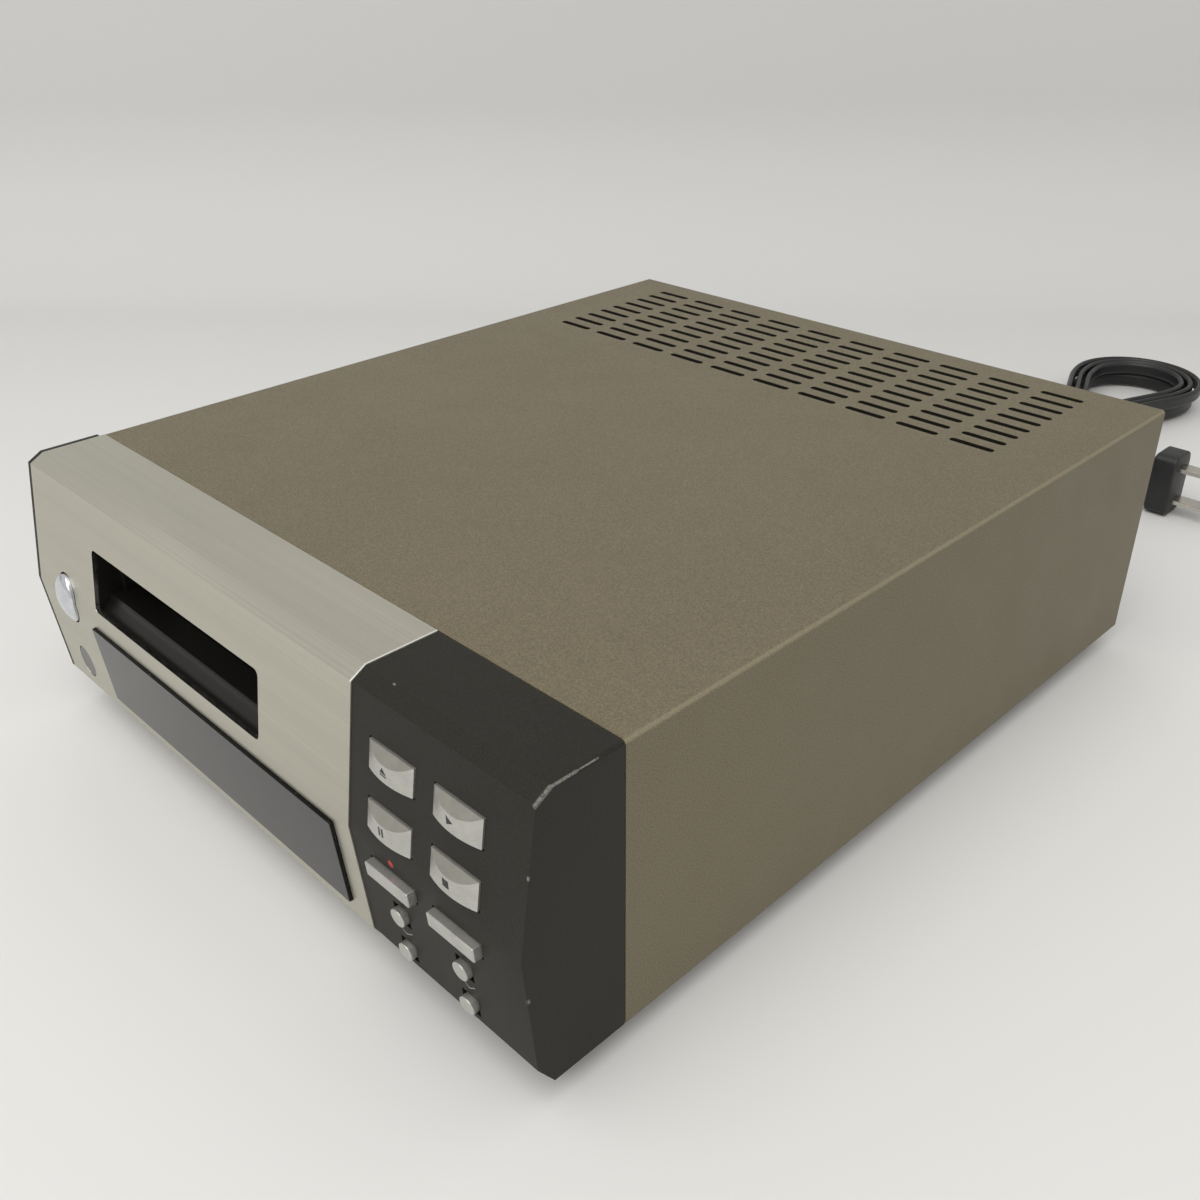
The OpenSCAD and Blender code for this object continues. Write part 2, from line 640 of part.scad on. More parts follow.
module base_shell() difference() {
    union() {
        nose_block(-cover_w / 2 + base_end_t, fascia_end_x + fit_gap, recess, base_back_y);
        nose_block(fascia_end_x + fit_gap, cover_w / 2, 0, base_back_y);
        nose_block(-cover_w / 2, -cover_w / 2 + base_end_t - fit_gap, -fascia_proud, end_cap_back_y);
        nose_block(-cover_w / 2 + base_end_t - fit_gap - eps, -cover_w / 2 + base_end_t + eps, recess, end_cap_back_y);
    }
    nose_block(-cover_w / 2 + base_end_t + 1, cover_w / 2 - base_end_t - 1, skin, 1);
    front_prism(slot_x, slot_low_z + slot_h / 2)
        square([slot_w + 2 * bezel_t + 2 * fit_gap, slot_h + 2 * bezel_t + 2 * fit_gap], center = true);
    window_prism(window_lip + fit_gap);
    sensor_prism(window_lip + fit_gap);
    power_prism(key_gap);
    control_holes();
    along_y(-brow_flat * 3, 1) translate([cover_w / 2 - corner_r, cover_h - corner_r]) difference() {
        square(corner_r + 1);
        circle(corner_r);
    }
}
// Tab that lies on the tray's front edge and is screwed to it
module base_tab() difference() {
    block([-6, -8, tray_top], [6, 12, tray_top + 2]);
    translate([0, 7, 0]) cylinder(20, 1.6, 1.6);
}

// ---- disc slot ----
slot_high_z = slot_low_z + slot_h;
bezel_back_y = -8;
bezel_w = slot_w + 2 * bezel_t;
door_axis_y = -13.5;
door_axis_z = slot_high_z - 2;
door_side_gap = 2.2;
door_w = slot_w - 2 * door_side_gap;
door_cheek_w = door_w + 0.8;
door_pin_len = 2.6;
spring_len = 1.2;
spring_r = door_pin_r + 0.9;
module slot_bezel() color(black) at_deck() difference() {
    intersection() {
        front_prism(slot_x, slot_low_z + slot_h / 2) square([bezel_w, slot_h + 2 * bezel_t], center = true);
        along_x(-cover_w / 2, cover_w / 2) polygon([
            for (z = [slot_low_z - 3, slot_high_z + 3]) [deep_y(z, fascia_t - fascia_proud + fit_gap), z],
            [bezel_back_y, slot_high_z + 3], [bezel_back_y, slot_low_z - 3]
        ]);
    }
    wide_block(slot_x, slot_w, [-crease_out, slot_low_z + sill_r], [door_axis_y - 4, slot_high_z]);
    wide_block(slot_x, door_cheek_w, [-crease_out, slot_low_z + sill_r], [0, slot_high_z]);
    sill_y = deep_y(slot_low_z, fascia_t);
    intersection() {
        wide_block(slot_x, slot_w, [-crease_out, slot_low_z], [sill_y + sill_r, slot_high_z]);
        rod_x(slot_x - slot_w / 2, slot_x + slot_w / 2, sill_y, slot_low_z + sill_r, sill_r);
    }
    rod_x(slot_x - door_cheek_w / 2 - door_pin_len - 0.2, slot_x + door_cheek_w / 2 + door_pin_len + 0.2,
        door_axis_y, door_axis_z, door_pin_r + run_gap);
    rod_x(slot_x - door_cheek_w / 2 - spring_len - 0.2, slot_x, door_axis_y, door_axis_z, spring_r + 0.2);
}
module slot_door() color([0.1, 0.1, 0.11]) at_deck() union() {
    wide_block(slot_x, door_w, [door_axis_y - door_t / 2, door_axis_z - door_h],
        [door_axis_y + door_t / 2, door_axis_z]);
    rod_x(slot_x - door_w / 2, slot_x + door_w / 2, door_axis_y, door_axis_z, door_pin_r + 0.4);
    rod_x(slot_x - door_cheek_w / 2 - door_pin_len, slot_x + door_cheek_w / 2 + door_pin_len,
        door_axis_y, door_axis_z, door_pin_r);
}
module door_spring() color(satin) at_deck() difference() {
    rod_x(slot_x - door_cheek_w / 2 - spring_len - 0.1, slot_x - door_cheek_w / 2 - 0.1,
        door_axis_y, door_axis_z, spring_r);
    rod_x(slot_x - door_cheek_w, slot_x, door_axis_y, door_axis_z, door_pin_r + 0.3);
}

// ---- display ----
module between_depths(t0, t1) difference() {
    nose_block(-cover_w / 2 + 0.5, cover_w / 2 - 0.5, t0, 0);
    nose_block(-cover_w / 2, cover_w / 2, t1, 1);
}
window_depth = recess + 2 * fit_gap;
sensor_sunk = 0.1;
module display_window() color(smoke) at_deck() union() {
    intersection() {
        between_depths(window_depth, window_depth + window_t);
        window_prism(window_lip);
    }
    intersection() {
        between_depths(-fascia_proud - window_proud, window_depth + eps);
        window_prism(-fit_gap);
    }
}
module remote_window() color(black) at_deck() union() {
    intersection() {
        between_depths(window_depth, window_depth + window_t);
        sensor_prism(window_lip);
    }
    intersection() {
        between_depths(sensor_sunk - fascia_proud, window_depth + eps);
        sensor_prism(-fit_gap);
    }
}
tube_front_y = display_board_y - tube_t;
module display_tube() color([0.3, 0.36, 0.36]) at_deck() block(
    [window_left + 4, tube_front_y, window_low_z + 0.6], [window_right - 4, display_board_y, window_high_z - 3]);
module display_board() color(board_green) at_deck() union() {
    block([-inner_x + 6, display_board_y, 5], [window_right + 2, display_board_y + board_t, slot_low_z - bezel_t - 1.5]);
    block([-inner_x + 6, display_board_y, 5], [slot_x - bezel_w / 2 - 2, display_board_y + board_t, power_z + 12]);
    for (x = [-inner_x + 10, window_right - 4])
        block([x, display_board_y + board_t, tray_top + 2.3], [x + 8, display_board_y + board_t + 4, 12]);
}
module remote_sensor() color(black) at_deck() block(
    [sensor_x - 3.5, display_board_y - 4, sensor_z - 4], [sensor_x + 3.5, display_board_y, sensor_z + 4]);

// ---- buttons ----
// Rim and stem of a button of size w by h at (x, z), pushing a switch whose plunger tip is at switch_y
module key_back(x, z, w, h, switch_y) {
    rim_w = w + 2 * key_gap + 2 * key_lip;
    rim_h = h + 2 * key_gap + 2 * key_lip;
    rim_low_z = max(z - rim_h / 2, skin_toe_z + 0.2);
    rim_y = max(deep_y(rim_low_z, skin), deep_y(z + rim_h / 2, skin)) + 0.3;
    wide_block(x, rim_w, [rim_y, rim_low_z], [rim_y + key_lip_t, z + rim_h / 2]);
    wide_block(x, 3, [rim_y, z - 1.5], [switch_y - press_gap, z + 1.5]);
    wide_block(x, w, [rim_y - 2.5, z - h / 2], [rim_y, z + h / 2]);
}
// A crowned face rises from the lower edge to a ridge; a flat facet falls from the ridge to the upper edge
module main_key(x, z) color(satin) at_deck() union() {
    key_back(x, z, key_w, key_h, key_board_y - switch_h);
    intersection() {
        wide_block(x, key_w, [-crease_out - 5, z - key_h / 2], [deep_y(z, skin), z + key_h / 2]);
        translate([x, face_y(z), z]) rotate([90 - upper_tilt, 0, 0]) translate([0, key_ridge, key_crown])
            intersection() {
                rotate([face_tilt, 0, 0]) translate([0, 0, -key_crown_r]) rotate([90, 0, 0])
                    cylinder(6 * key_h, key_crown_r, key_crown_r, center = true, $fn = 96);
                rotate([-facet_tilt, 0, 0]) block([-key_w, -3 * key_h, -4 * key_h], [key_w, 3 * key_h, 0]);
            }
    }
}
module bar_key(x) color(satin) at_deck() union() {
    key_back(x, bar_z, key_w, bar_h, key_board_y - switch_h);
    intersection() {
        wide_block(x, key_w, [-crease_out - 5, bar_z - bar_h / 2], [deep_y(bar_z, skin), bar_z + bar_h / 2]);
        nose_block(fascia_end_x, cover_w / 2, -bar_out, 0);
    }
}
module dot_key(x, z) color(satin) at_deck() union() {
    key_back(x, z, dot_hole - 2 * key_gap, dot_hole - 2 * key_gap, key_board_y - switch_h);
    intersection() {
        rod_y(x, -crease_out - 5, deep_y(z, skin), z, dot_d / 2);
        nose_block(fascia_end_x, cover_w / 2, -dot_out, 0);
    }
}
module eject_button() main_key(column_1_x, key_row_1_z);
module pause_button() main_key(column_1_x, key_row_2_z);
module play_button() main_key(column_2_x, key_row_1_z);
module stop_button() main_key(column_2_x, key_row_2_z);
module record_button() bar_key(column_1_x);
module mode_button() bar_key(column_2_x);
module upper_left_dot_button() dot_key(column_1_x, dot_row_1_z);
module lower_left_dot_button() dot_key(column_1_x, dot_row_2_z);
module upper_right_dot_button() dot_key(column_2_x, dot_row_1_z);
module lower_right_dot_button() dot_key(column_2_x, dot_row_2_z);
module power_button() color(satin) at_deck() {
    dome_r = (power_h * power_h / 4 + power_out * power_out) / (2 * power_out);
    rim_y = -crease_out + skin / cos(upper_tilt) + power_h / 2 * upper_slope + 0.6;
    union() {
        intersection() {
            along_y(-crease_out - power_out, rim_y) translate([power_x, power_z]) oval(power_w, power_h);
            translate([power_x, dome_r - power_out - crease_out, power_z]) sphere(dome_r, $fn = 96);
        }
        along_y(rim_y, rim_y + key_lip_t) translate([power_x, power_z]) oval(power_w + 2.6, power_h + 2.6);
        wide_block(power_x, 3, [rim_y, power_z - 1.5], [display_board_y - switch_h - press_gap, power_z + 1.5]);
    }
}
module push_switch(x, z, board_y) {
    wide_block(x, 6, [board_y - switch_h + 0.8, z - 3], [board_y, z + 3]);
    rod_y(x, board_y - switch_h, board_y - switch_h + 0.8, z, 1.7);
}
module key_switches() color(black) at_deck() {
    for (x = [column_1_x, column_2_x], z = [key_row_1_z, key_row_2_z, bar_z, dot_row_1_z, dot_row_2_z])
        push_switch(x, z, key_board_y);
    push_switch(power_x, power_z, display_board_y);
}
module key_board() color(board_green) at_deck() union() {
    block([fascia_end_x + 3, key_board_y, 5], [inner_x - 3, key_board_y + board_t, brow_z - 6]);
    for (x = [fascia_end_x + 5, inner_x - 14])
        block([x, key_board_y + board_t, tray_top + 2.3], [x + 8, key_board_y + board_t + 3, 12]);
}

// ---- boards ----
module main_board() color(board_green) at_deck() difference() {
    block([board_left_x, board_front_y, board_z], [board_left_x + board_w, board_back_y, board_top_z]);
    at_board_posts() cylinder(board_lift + 4, 1.6, 1.6);
}
module on_board(dx, dy) translate([board_left_x + dx, board_front_y + dy, board_top_z]) children();
module chips() color(black) at_deck() {
    on_board(30, 24) cube([16, 16, 1.6]);
    on_board(58, 20) cube([20, 14, 1.6]);
    on_board(28, 52) cube([9, 14, 1.4]);
    on_board(54, 48) cube([14, 9, 1.4]);
    on_board(board_w - 26, 38.4) cube([10, 4.4, 18]);
}
module capacitors() color([0.12, 0.14, 0.3]) at_deck() {
    for (dx = [26, 12], dy = [27, 73]) on_board(board_w - dx, dy) cylinder(22, 5, 5);
    for (dy = [30, 42]) on_board(12, dy) cylinder(11, 3, 3);
    for (dx = [44, 54, 64]) on_board(dx, board_d - 18) cylinder(11, 3, 3);
}
module heat_sink() color([0.55, 0.56, 0.58]) at_deck() on_board(board_w - 28, 43) union() {
    cube([24, 2, 26]);
    for (i = [0 : 5]) translate([i * 4.4, 2, 0]) cube([1.2, 10, 26]);
}
coil_in_w = core_w * 0.28;
window_w = core_w * 0.18;
yoke = core_h * 0.21;
module transformer_core() color([0.45, 0.45, 0.47]) at_deck() difference() {
    union() {
        wide_block(core_x, core_w, [core_y, core_z], [core_y + core_d, core_z + core_h]);
        wide_block(core_x, core_w + 18, [core_y, tray_top], [core_y + core_d, core_z]);
    }
    for (s = [-1, 1])
        wide_block(core_x + s * (coil_in_w + window_w) / 2, window_w, [core_y - 1, core_z + yoke],
            [core_y + core_d + 1, core_z + core_h - yoke]);
    at_core_screws() cylinder(core_z + 2, 1.7, 1.7);
}
module transformer_coil() color([0.85, 0.75, 0.3]) at_deck() difference() {
    wide_block(core_x, coil_in_w + 2 * window_w - 0.6, [core_y - window_w, core_z + yoke + 0.2],
        [core_y + core_d + window_w, core_z + core_h - yoke - 0.2]);
    wide_block(core_x, coil_in_w + 0.4, [core_y - 0.2, 0], [core_y + core_d + 0.2, cover_h]);
}

// ---- disc drive ----
module at_dampers()
    for (x = bracket_x, y = [drive_front_y + 8, drive_back_y - 8])
        translate([x, y, 0]) children();
bracket_z = tray_to_drive - damper_h;
module drive_brackets() color(zinc) at_deck() for (x = bracket_x) difference() {
    union() {
        wide_block(x, 16, [drive_front_y, bracket_z - 1.2], [drive_back_y, bracket_z]);
        wide_block(x - 7.4, 1.2, [drive_front_y, tray_top], [drive_back_y, bracket_z]);
        wide_block(x, 16, [drive_front_y, tray_top], [drive_back_y, tray_top + 1.2]);
    }
    at_dampers() cylinder(cover_h, 1.6, 1.6);
    at_bracket_screws() cylinder(tray_top + 4, 1.6, 1.6);
    at_bracket_screws() translate([0, 0, tray_top + 4]) cylinder(cover_h, 4.5, 4.5);
}
module drive_dampers() color([0.15, 0.12, 0.12]) at_deck() at_dampers()
    translate([0, 0, bracket_z]) difference() {
        cylinder(damper_h, 5, 5);
        translate([0, 0, -1]) cylinder(damper_h + 2, 1.6, 1.6);
    }
module rod_posts() for (s = [-1, 1], y = [spindle_y + 8, drive_back_y - 5])
    wide_block(slot_x + s * rod_span / 2, 6, [y, tray_to_drive], [y + 3, rod_z + 3]);
module drive_base() color(zinc) at_deck() difference() {
    union() {
        block([slot_x - holder_w / 2 - 16, drive_front_y, tray_to_drive], [drive_right_x, drive_back_y, drive_z]);
        block([drive_left_x, drive_front_y, tray_to_drive], [slot_x, pinion_y + motor_r + 2, drive_z]);
        rod_posts();
        wide_block(slot_x + holder_w / 2 + 3, 1.2, [drive_front_y, drive_z - eps], [drive_back_y - 10, holder_top_z]);
        wide_block(cam_x - 2, 1.2, [70, drive_z - eps], [drive_back_y - 10, cam_low_z + 6]);
        translate([wheel_x, wheel_y, drive_z - eps]) cylinder(10, wheel_post_r, wheel_post_r);
    }
    at_dampers() cylinder(cover_h, 1.6, 1.6);
    for (s = [-1, 1])
        rod_y(slot_x + s * rod_span / 2, spindle_y, drive_back_y + 1, rod_z, rod_r + 0.02);
    translate([pinion_x, pinion_y, 0]) cylinder(cover_h, shaft_r + 1.6, shaft_r + 1.6);
    translate([sled_pinion_x, sled_pinion_y, 0]) cylinder(cover_h, shaft_r + 1.6, shaft_r + 1.6);
    for (y = cam_pin_y)
        wide_block(slot_x + holder_w / 2 + 3, 4, [y - guide_pin_r - 0.15, cam_pin_z - holder_drop - 2],
            [y + guide_pin_r + 0.15, holder_top_z + 1]);
}
module disc_holder() color([0.6, 0.6, 0.58]) at_deck() union() {
    difference() {
        wide_block(slot_x, holder_w, [holder_y, holder_low_z], [holder_y + holder_d, holder_top_z]);
        wide_block(slot_x, holder_in_w, [holder_y - 1, disc_low_z], [holder_y + holder_d - holder_t, disc_low_z + holder_in_h]);
        wide_block(slot_x, holder_in_w - 12, [holder_y + 6, holder_low_z - 1], [holder_y + holder_d + 1, disc_low_z + 1]);
        wide_block(slot_x, 16, [spindle_y + 4, disc_low_z], [holder_y + holder_d + 1, holder_top_z + 1]);
    }
    for (y = cam_pin_y) {
        rod_x(cam_x - cam_t, holder_left_x + 0.2, y, cam_pin_z, guide_pin_r);
        rod_x(slot_x + holder_w / 2 - 0.2, slot_x + holder_w / 2 + 4, y, cam_pin_z, guide_pin_r);
    }
}
// A slot for a guide pin that slants down by the drop over the travel
module cam_slot(y) hull() for (k = [-0.06, 1.06])
    translate([cam_x - 3, y - k * cam_travel, cam_pin_z - k * holder_drop]) rotate([0, 90, 0])
        cylinder(6, guide_pin_r + 0.12, guide_pin_r + 0.12, $fn = 32);
rack_low_z = cam_low_z - 1.4;
module cam_slide() color(white_nylon) at_deck() union() {
    difference() {
        wide_block(cam_x, cam_t, [4, rack_low_z], [84 - cam_travel, cam_high_z]);
        for (y = cam_pin_y) cam_slot(y);
    }
    translate([rack_x, wheel_y, rack_low_z]) rotate([0, 0, 90]) linear_extrude(2.6)
        rack_outline(14, cam_x - cam_t / 2 - rack_x + eps);
}
module at_loading_motor() translate([pinion_x, pinion_y, 0]) children();
module motor_body(shaft_top) union() {
    translate([0, 0, tray_to_drive - motor_h]) cylinder(motor_h, motor_r, motor_r);
    translate([0, 0, tray_to_drive - eps]) cylinder(shaft_top - tray_to_drive, shaft_r, shaft_r);
    translate([0, 0, tray_to_drive - motor_h - 2]) cylinder(3, 3, 3);
}
wheel_post_r = 1.5;
wheel_low_z = drive_z + 1;
gear_t = 2.6;
module loading_motor() color([0.7, 0.7, 0.68]) at_deck() at_loading_motor() motor_body(wheel_low_z + gear_t);
module loading_pinion() color(brass) at_deck() at_loading_motor() translate([0, 0, wheel_low_z - 0.3])
    difference() {
        linear_extrude(gear_t + 0.6) gear_outline(small_teeth, pinion_angle + 180 + 180 / small_teeth);
        translate([0, 0, -1]) cylinder(gear_t + 3, shaft_r + run_gap, shaft_r + run_gap);
    }
module loading_wheel() color(white_nylon) at_deck() translate([wheel_x, wheel_y, wheel_low_z]) difference() {
    union() {
        linear_extrude(gear_t) gear_outline(wheel_teeth, pinion_angle);
        translate([0, 0, gear_t - eps]) linear_extrude(rack_low_z + 2.6 - wheel_low_z - gear_t)
            gear_outline(small_teeth, 0);
    }
    translate([0, 0, -1]) cylinder(20, wheel_post_r + run_gap, wheel_post_r + run_gap);
}
module spindle_motor() color(zinc) at_deck() translate([slot_x, spindle_y, drive_z]) difference() {
    cylinder(spindle_h, spindle_r, spindle_r);
    translate([0, 0, 1]) cylinder(spindle_h, shaft_r + run_gap, shaft_r + run_gap);
}
module turntable() color(satin) at_deck() translate([slot_x, spindle_y, drive_z + spindle_h]) union() {
    translate([0, 0, 0.2]) cylinder(turntable_h - 1.2, turntable_r, turntable_r);
    translate([0, 0, 0.2]) cylinder(turntable_h - 0.2, 4, 4);
    translate([0, 0, -spindle_h + 1.3]) cylinder(spindle_h, shaft_r, shaft_r);
}
module guide_rods() color(satin) at_deck() for (s = [-1, 1])
    rod_y(slot_x + s * rod_span / 2, spindle_y + 8, drive_back_y - 2, rod_z, rod_r);
module optical_pickup() color([0.35, 0.35, 0.37]) at_deck() difference() {
    union() {
        block([slot_x - rod_span / 2 - rod_r - 2.4, sled_y, sled_low_z], [sled_side_x, sled_y + sled_d, sled_high_z]);
        translate([slot_x, sled_y + 3, sled_high_z - 1]) cylinder(2.2, 2.6, 2.6);
        wide_block(slot_x, 6, [sled_y + sled_d - 1, sled_low_z], [arm_y + 2.5, sled_high_z - 2]);
        wide_block(slot_x, 6, [arm_y - 2.5, sled_low_z], [arm_y + 2.5, arm_z + 2]);
        rod_x(slot_x - 6, slot_x + 6, arm_y, arm_z, 1);
        block([sled_side_x - 3, sled_y, sled_low_z], [sled_side_x, sled_pinion_y + 7, sled_low_z + 3]);
        translate([sled_rack_x, sled_pinion_y - (sled_teeth - 7) / 2 * PI * gear_m, sled_low_z]) rotate([0, 0, -90])
            linear_extrude(3) rack_outline(sled_teeth, sled_rack_x - sled_side_x + 0.5);
    }
    for (s = [-1, 1])
        rod_y(slot_x + s * rod_span / 2, sled_y - 1, sled_y + sled_d + 22, rod_z, rod_r + run_gap);
}
module sled_motor() color([0.7, 0.7, 0.68]) at_deck() translate([sled_pinion_x, sled_pinion_y, 0])
    motor_body(sled_low_z + 3);
module sled_pinion() color(brass) at_deck() translate([sled_pinion_x, sled_pinion_y, sled_low_z + 0.1])
    difference() {
        linear_extrude(2.8) gear_outline(small_teeth, 180 + 180 / small_teeth);
        translate([0, 0, -1]) cylinder(5, shaft_r + run_gap, shaft_r + run_gap);
    }
arm_low_z = holder_top_z + 1;
module head_arm() color(satin) at_deck() difference() {
    union() {
        wide_block(slot_x, 9, [sled_y + 2, arm_low_z], [arm_y + 3, arm_low_z + 1]);
        wide_block(slot_x, 5, [sled_y + 2, arm_low_z - 0.9], [sled_y + 8, arm_low_z + 0.1]);
        for (s = [-1, 1]) wide_block(slot_x + s * 4, 1, [arm_y - 3, arm_z - 2.5], [arm_y + 3, arm_low_z + 0.5]);
    }
    rod_x(slot_x - 8, slot_x + 8, arm_y, arm_z, 1 + run_gap);
}

// ---- rear ----
module line_jacks() color([0.85, 0.83, 0.78]) at_deck() difference() {
    union() {
        block([jack_x - 7, board_back_y - 14, board_top_z], [jack_x + jack_pitch + 7, rear_front_y, jack_z + jack_pitch + 6]);
        at_jacks() rod_y(0, rear_front_y - 1, rear_back_y + jack_out, 0, jack_r);
    }
    at_jacks() rod_y(0, rear_front_y - 6, rear_back_y + jack_out + 1, 0, 1.6);
}
module optical_jacks() color(black) at_deck() for (x = optical_x) difference() {
    union() {
        wide_block(x, 11, [board_back_y - 6, board_top_z], [rear_front_y, board_top_z + 13]);
        wide_block(x, 9, [rear_front_y - 1, board_top_z + 2.5], [rear_back_y + 0.8, board_top_z + 11.5]);
    }
    wide_block(x, 6, [rear_front_y - 5, board_top_z + 4], [rear_back_y + 2, board_top_z + 10]);
}
module control_jack() color(black) at_deck() difference() {
    union() {
        wide_block(control_x, 11, [board_back_y - 6, board_top_z], [rear_front_y, control_z + 6]);
        rod_y(control_x, rear_front_y - 1, rear_back_y + 2.5, control_z, 4);
    }
    rod_y(control_x, rear_front_y - 12, rear_back_y + 3, control_z, control_bore_r);
}
module ribbon_cable() color([0.9, 0.9, 0.88]) at_deck() along_x(slot_x + 4, slot_x + 18) polygon([
    for (p = [[display_board_y + board_t, 8], [3, 8], [8, tray_top + 0.9], [board_front_y - 12, tray_top + 0.9],
        [board_front_y - 4, board_top_z + 2], [board_front_y + 6, board_top_z + 2]]) p,
    for (p = [[board_front_y + 6, board_top_z + 0.3], [board_front_y - 3.6, board_top_z + 0.3],
        [board_front_y - 11.6, tray_top + 0.3], [7.6, tray_top + 0.3], [2.8, 7.4], [display_board_y + board_t, 7.4]]) p
]);

// ---- screws ----
module pan_screw(head_r, length) {
    cylinder(1.6, head_r, head_r);
    translate([0, 0, -length]) cylinder(length + eps, 1.2, 1.2);
}
module cover_screws() color(charcoal) at_deck() at_cover_screws() mirror([0, 0, 1]) pan_screw(2.8, tray_top + 2);
module fixing_screws() color(zinc) at_deck() {
    at_board_posts() translate([0, 0, board_lift + board_t]) pan_screw(2.8, 6);
    at_core_screws() translate([0, 0, core_z]) pan_screw(3, tray_t + 2);
    at_bracket_screws() translate([0, 0, tray_top + 1.2]) pan_screw(2.8, 4);
    at_rear_flange_screws() translate([0, 0, tray_top + rear_t]) pan_screw(2.8, 3.5);
    at_dampers() translate([0, 0, drive_z]) pan_screw(3, damper_h + drive_t + 3);
    at_base_tabs() translate([0, 7, tray_top + 2]) pan_screw(2.8, 4);
    at_feet() translate([0, 0, -3]) mirror([0, 0, 1]) pan_screw(3, 7);
}

// ---- mains cord, row frame ----
module cord_bushing() color(black) union() {
    translate([exit_x, relief_y, exit_z]) rotate([-90, 0, 0]) cylinder(3, 7.2, 7.2);
    translate([exit_x, relief_y - rear_t - 2, exit_z]) rotate([-90, 0, 0]) cylinder(rear_t + 3, 5, 5);
    translate([exit_x, relief_y + 2.9, exit_z]) rotate([-90, 0, 0]) cylinder(relief_len - 2.9, 5.6, 3.6);
}
// Cross-section of the flat cord: wide along the first axis, with the given number of sides
function section(sides) = sides == 8
    ? [[1, 0.4], [0.7, 1], [-0.7, 1], [-1, 0.4], [-1, -0.4], [-0.7, -1], [0.7, -1], [1, -0.4]]
    : [[1, 0], [0.55, 1], [-0.55, 1], [-1, 0], [-0.55, -1], [0.55, -1]];
function unit(v) = v / norm(v);
// Points of one ring: the cord's wide side is turned from level by roll degrees
function ring(p, tangent, roll, sides) =
    let (side = unit(cross(tangent, [0, 0, 1])), up = cross(side, tangent),
        wide = cos(roll) * side + sin(roll) * up, thin = -sin(roll) * side + cos(roll) * up)
        [for (s = section(sides)) p + s[0] * cord_w / 2 * wide + s[1] * cord_t / 2 * thin];
// One closed tube through the rings of a path; its two ends are square to the given directions
module cord_tube(path, rolls, sides, first, last) {
    n = len(path);
    function tangent(i) = i == 0 ? first : i == n - 1 ? last : unit(path[i + 1] - path[i - 1]);
    rings = [for (i = [0 : n - 1]) ring(path[i], tangent(i), rolls[i], sides)];
    polyhedron(
        [for (r = rings) each r],
        [
            for (i = [0 : n - 2], k = [0 : sides - 1])
                let (a = i * sides + k, b = i * sides + (k + 1) % sides)
                    each [[a, b, b + sides], [a, b + sides, a + sides]],
            for (k = [1 : sides - 2]) each [[0, k + 1, k], [(n - 1) * sides, (n - 1) * sides + k, (n - 1) * sides + k + 1]]
        ]
    );
}
// The hank: u counts turns. Each turn has a left run, a far bend, a right run and a near bend.
function hank_radius(u) = hank_r - hank_step * (u < hank_reverse ? u : 2 * hank_reverse - u);
function hank_draw(y) = hank_waist * (1 - cos(360 * (y - hank_near_y) / (hank_far_y - hank_near_y))) / 2;
function hank_lift(u) =
    let (k = (u - hank_reverse) * 16 + 1) hank_rise * (k <= 0 ? 0 : k >= 2 ? 1 : (1 - cos(90 * k)) / 2);
function hank_point(u) =
    let (part = (u - floor(u)) * 4, r = hank_radius(u), z = hank_low_z + hank_lift(u),
        run = hank_far_y - hank_near_y)
        part < 1 ? let (y = hank_near_y + part * run) [hank_x - r + hank_draw(y), y, z]
        : part < 2 ? [hank_x - r * cos(180 * (part - 1)), hank_far_y + r * sin(180 * (part - 1)), z]
        : part < 3 ? let (y = hank_far_y - (part - 2) * run) [hank_x + r - hank_draw(y), y, z]
        : [hank_x + r * cos(180 * (part - 3)), hank_near_y - r * sin(180 * (part - 3)), z];
hank_rings = 24;
hank_path = [for (i = [0 : hank_turns * hank_rings]) hank_point(i / hank_rings)];
// Least distance between strands a quarter turn or more apart, measured between ring centres and edges
hank_gap = min([
    for (i = [0 : len(hank_path) - 1], j = [i + 12 : 1 : len(hank_path) - 2])
        let (d = hank_path[j + 1] - hank_path[j], v = hank_path[i] - hank_path[j],
            t = min(1, max(0, v * d / (d * d))), off = v - t * d,
            level = norm([off[0], off[1]]) - cord_t, high = abs(off[2]) - cord_w)
            max(level, high)
]);
echo(hank_gap = hank_gap, hank_end_x = hank_end_x, deck_y = deck_y, front_reach = front_reach);
module cord_hank() color(black) cord_tube(hank_path, [for (p = hank_path) 90], 6, [0, 1, 0], [0, -1, 0]);
module mains_cord() color(black) {
    cord_tube(cord_exit_path, cord_exit_roll, 8, [0, 1, 0], [0, 1, 0]);
    cord_tube(plug_path, plug_roll, 8, [0, -1, 0], [1, 0, 0]);
}
tie_t = 0.7;
tie_w = 6;
tie_gap = 0.9;
tie_left_x = hank_x - hank_r + hank_step / 8 + hank_waist - cord_t / 2 - tie_gap;
tie_right_x = hank_end_x + cord_t / 2 + tie_gap;
tie_in_w = tie_right_x - tie_left_x;
tie_in_h = cord_w + hank_rise + 0.3;
module cord_tie() color([0.1, 0.1, 0.1])
    translate([(tie_left_x + tie_right_x) / 2, 0, hank_low_z + hank_rise / 2])
    along_y(hank_mid_y - tie_w / 2, hank_mid_y + tie_w / 2) difference() {
        soft_rect(tie_in_w + 2 * tie_t, tie_in_h + 2 * tie_t, 1.5);
        soft_rect(tie_in_w, tie_in_h, 0.8);
    }
module plug_outline(w, h) translate([plug_y, plug_z]) soft_rect(w, h, 3);
module plug_body() color(black) union() {
    along_x(plug_tail_x, plug_face_x - 9) plug_outline(9, 15);
    along_x(plug_face_x - 9 - eps, plug_face_x) plug_outline(14, 23.6);
}
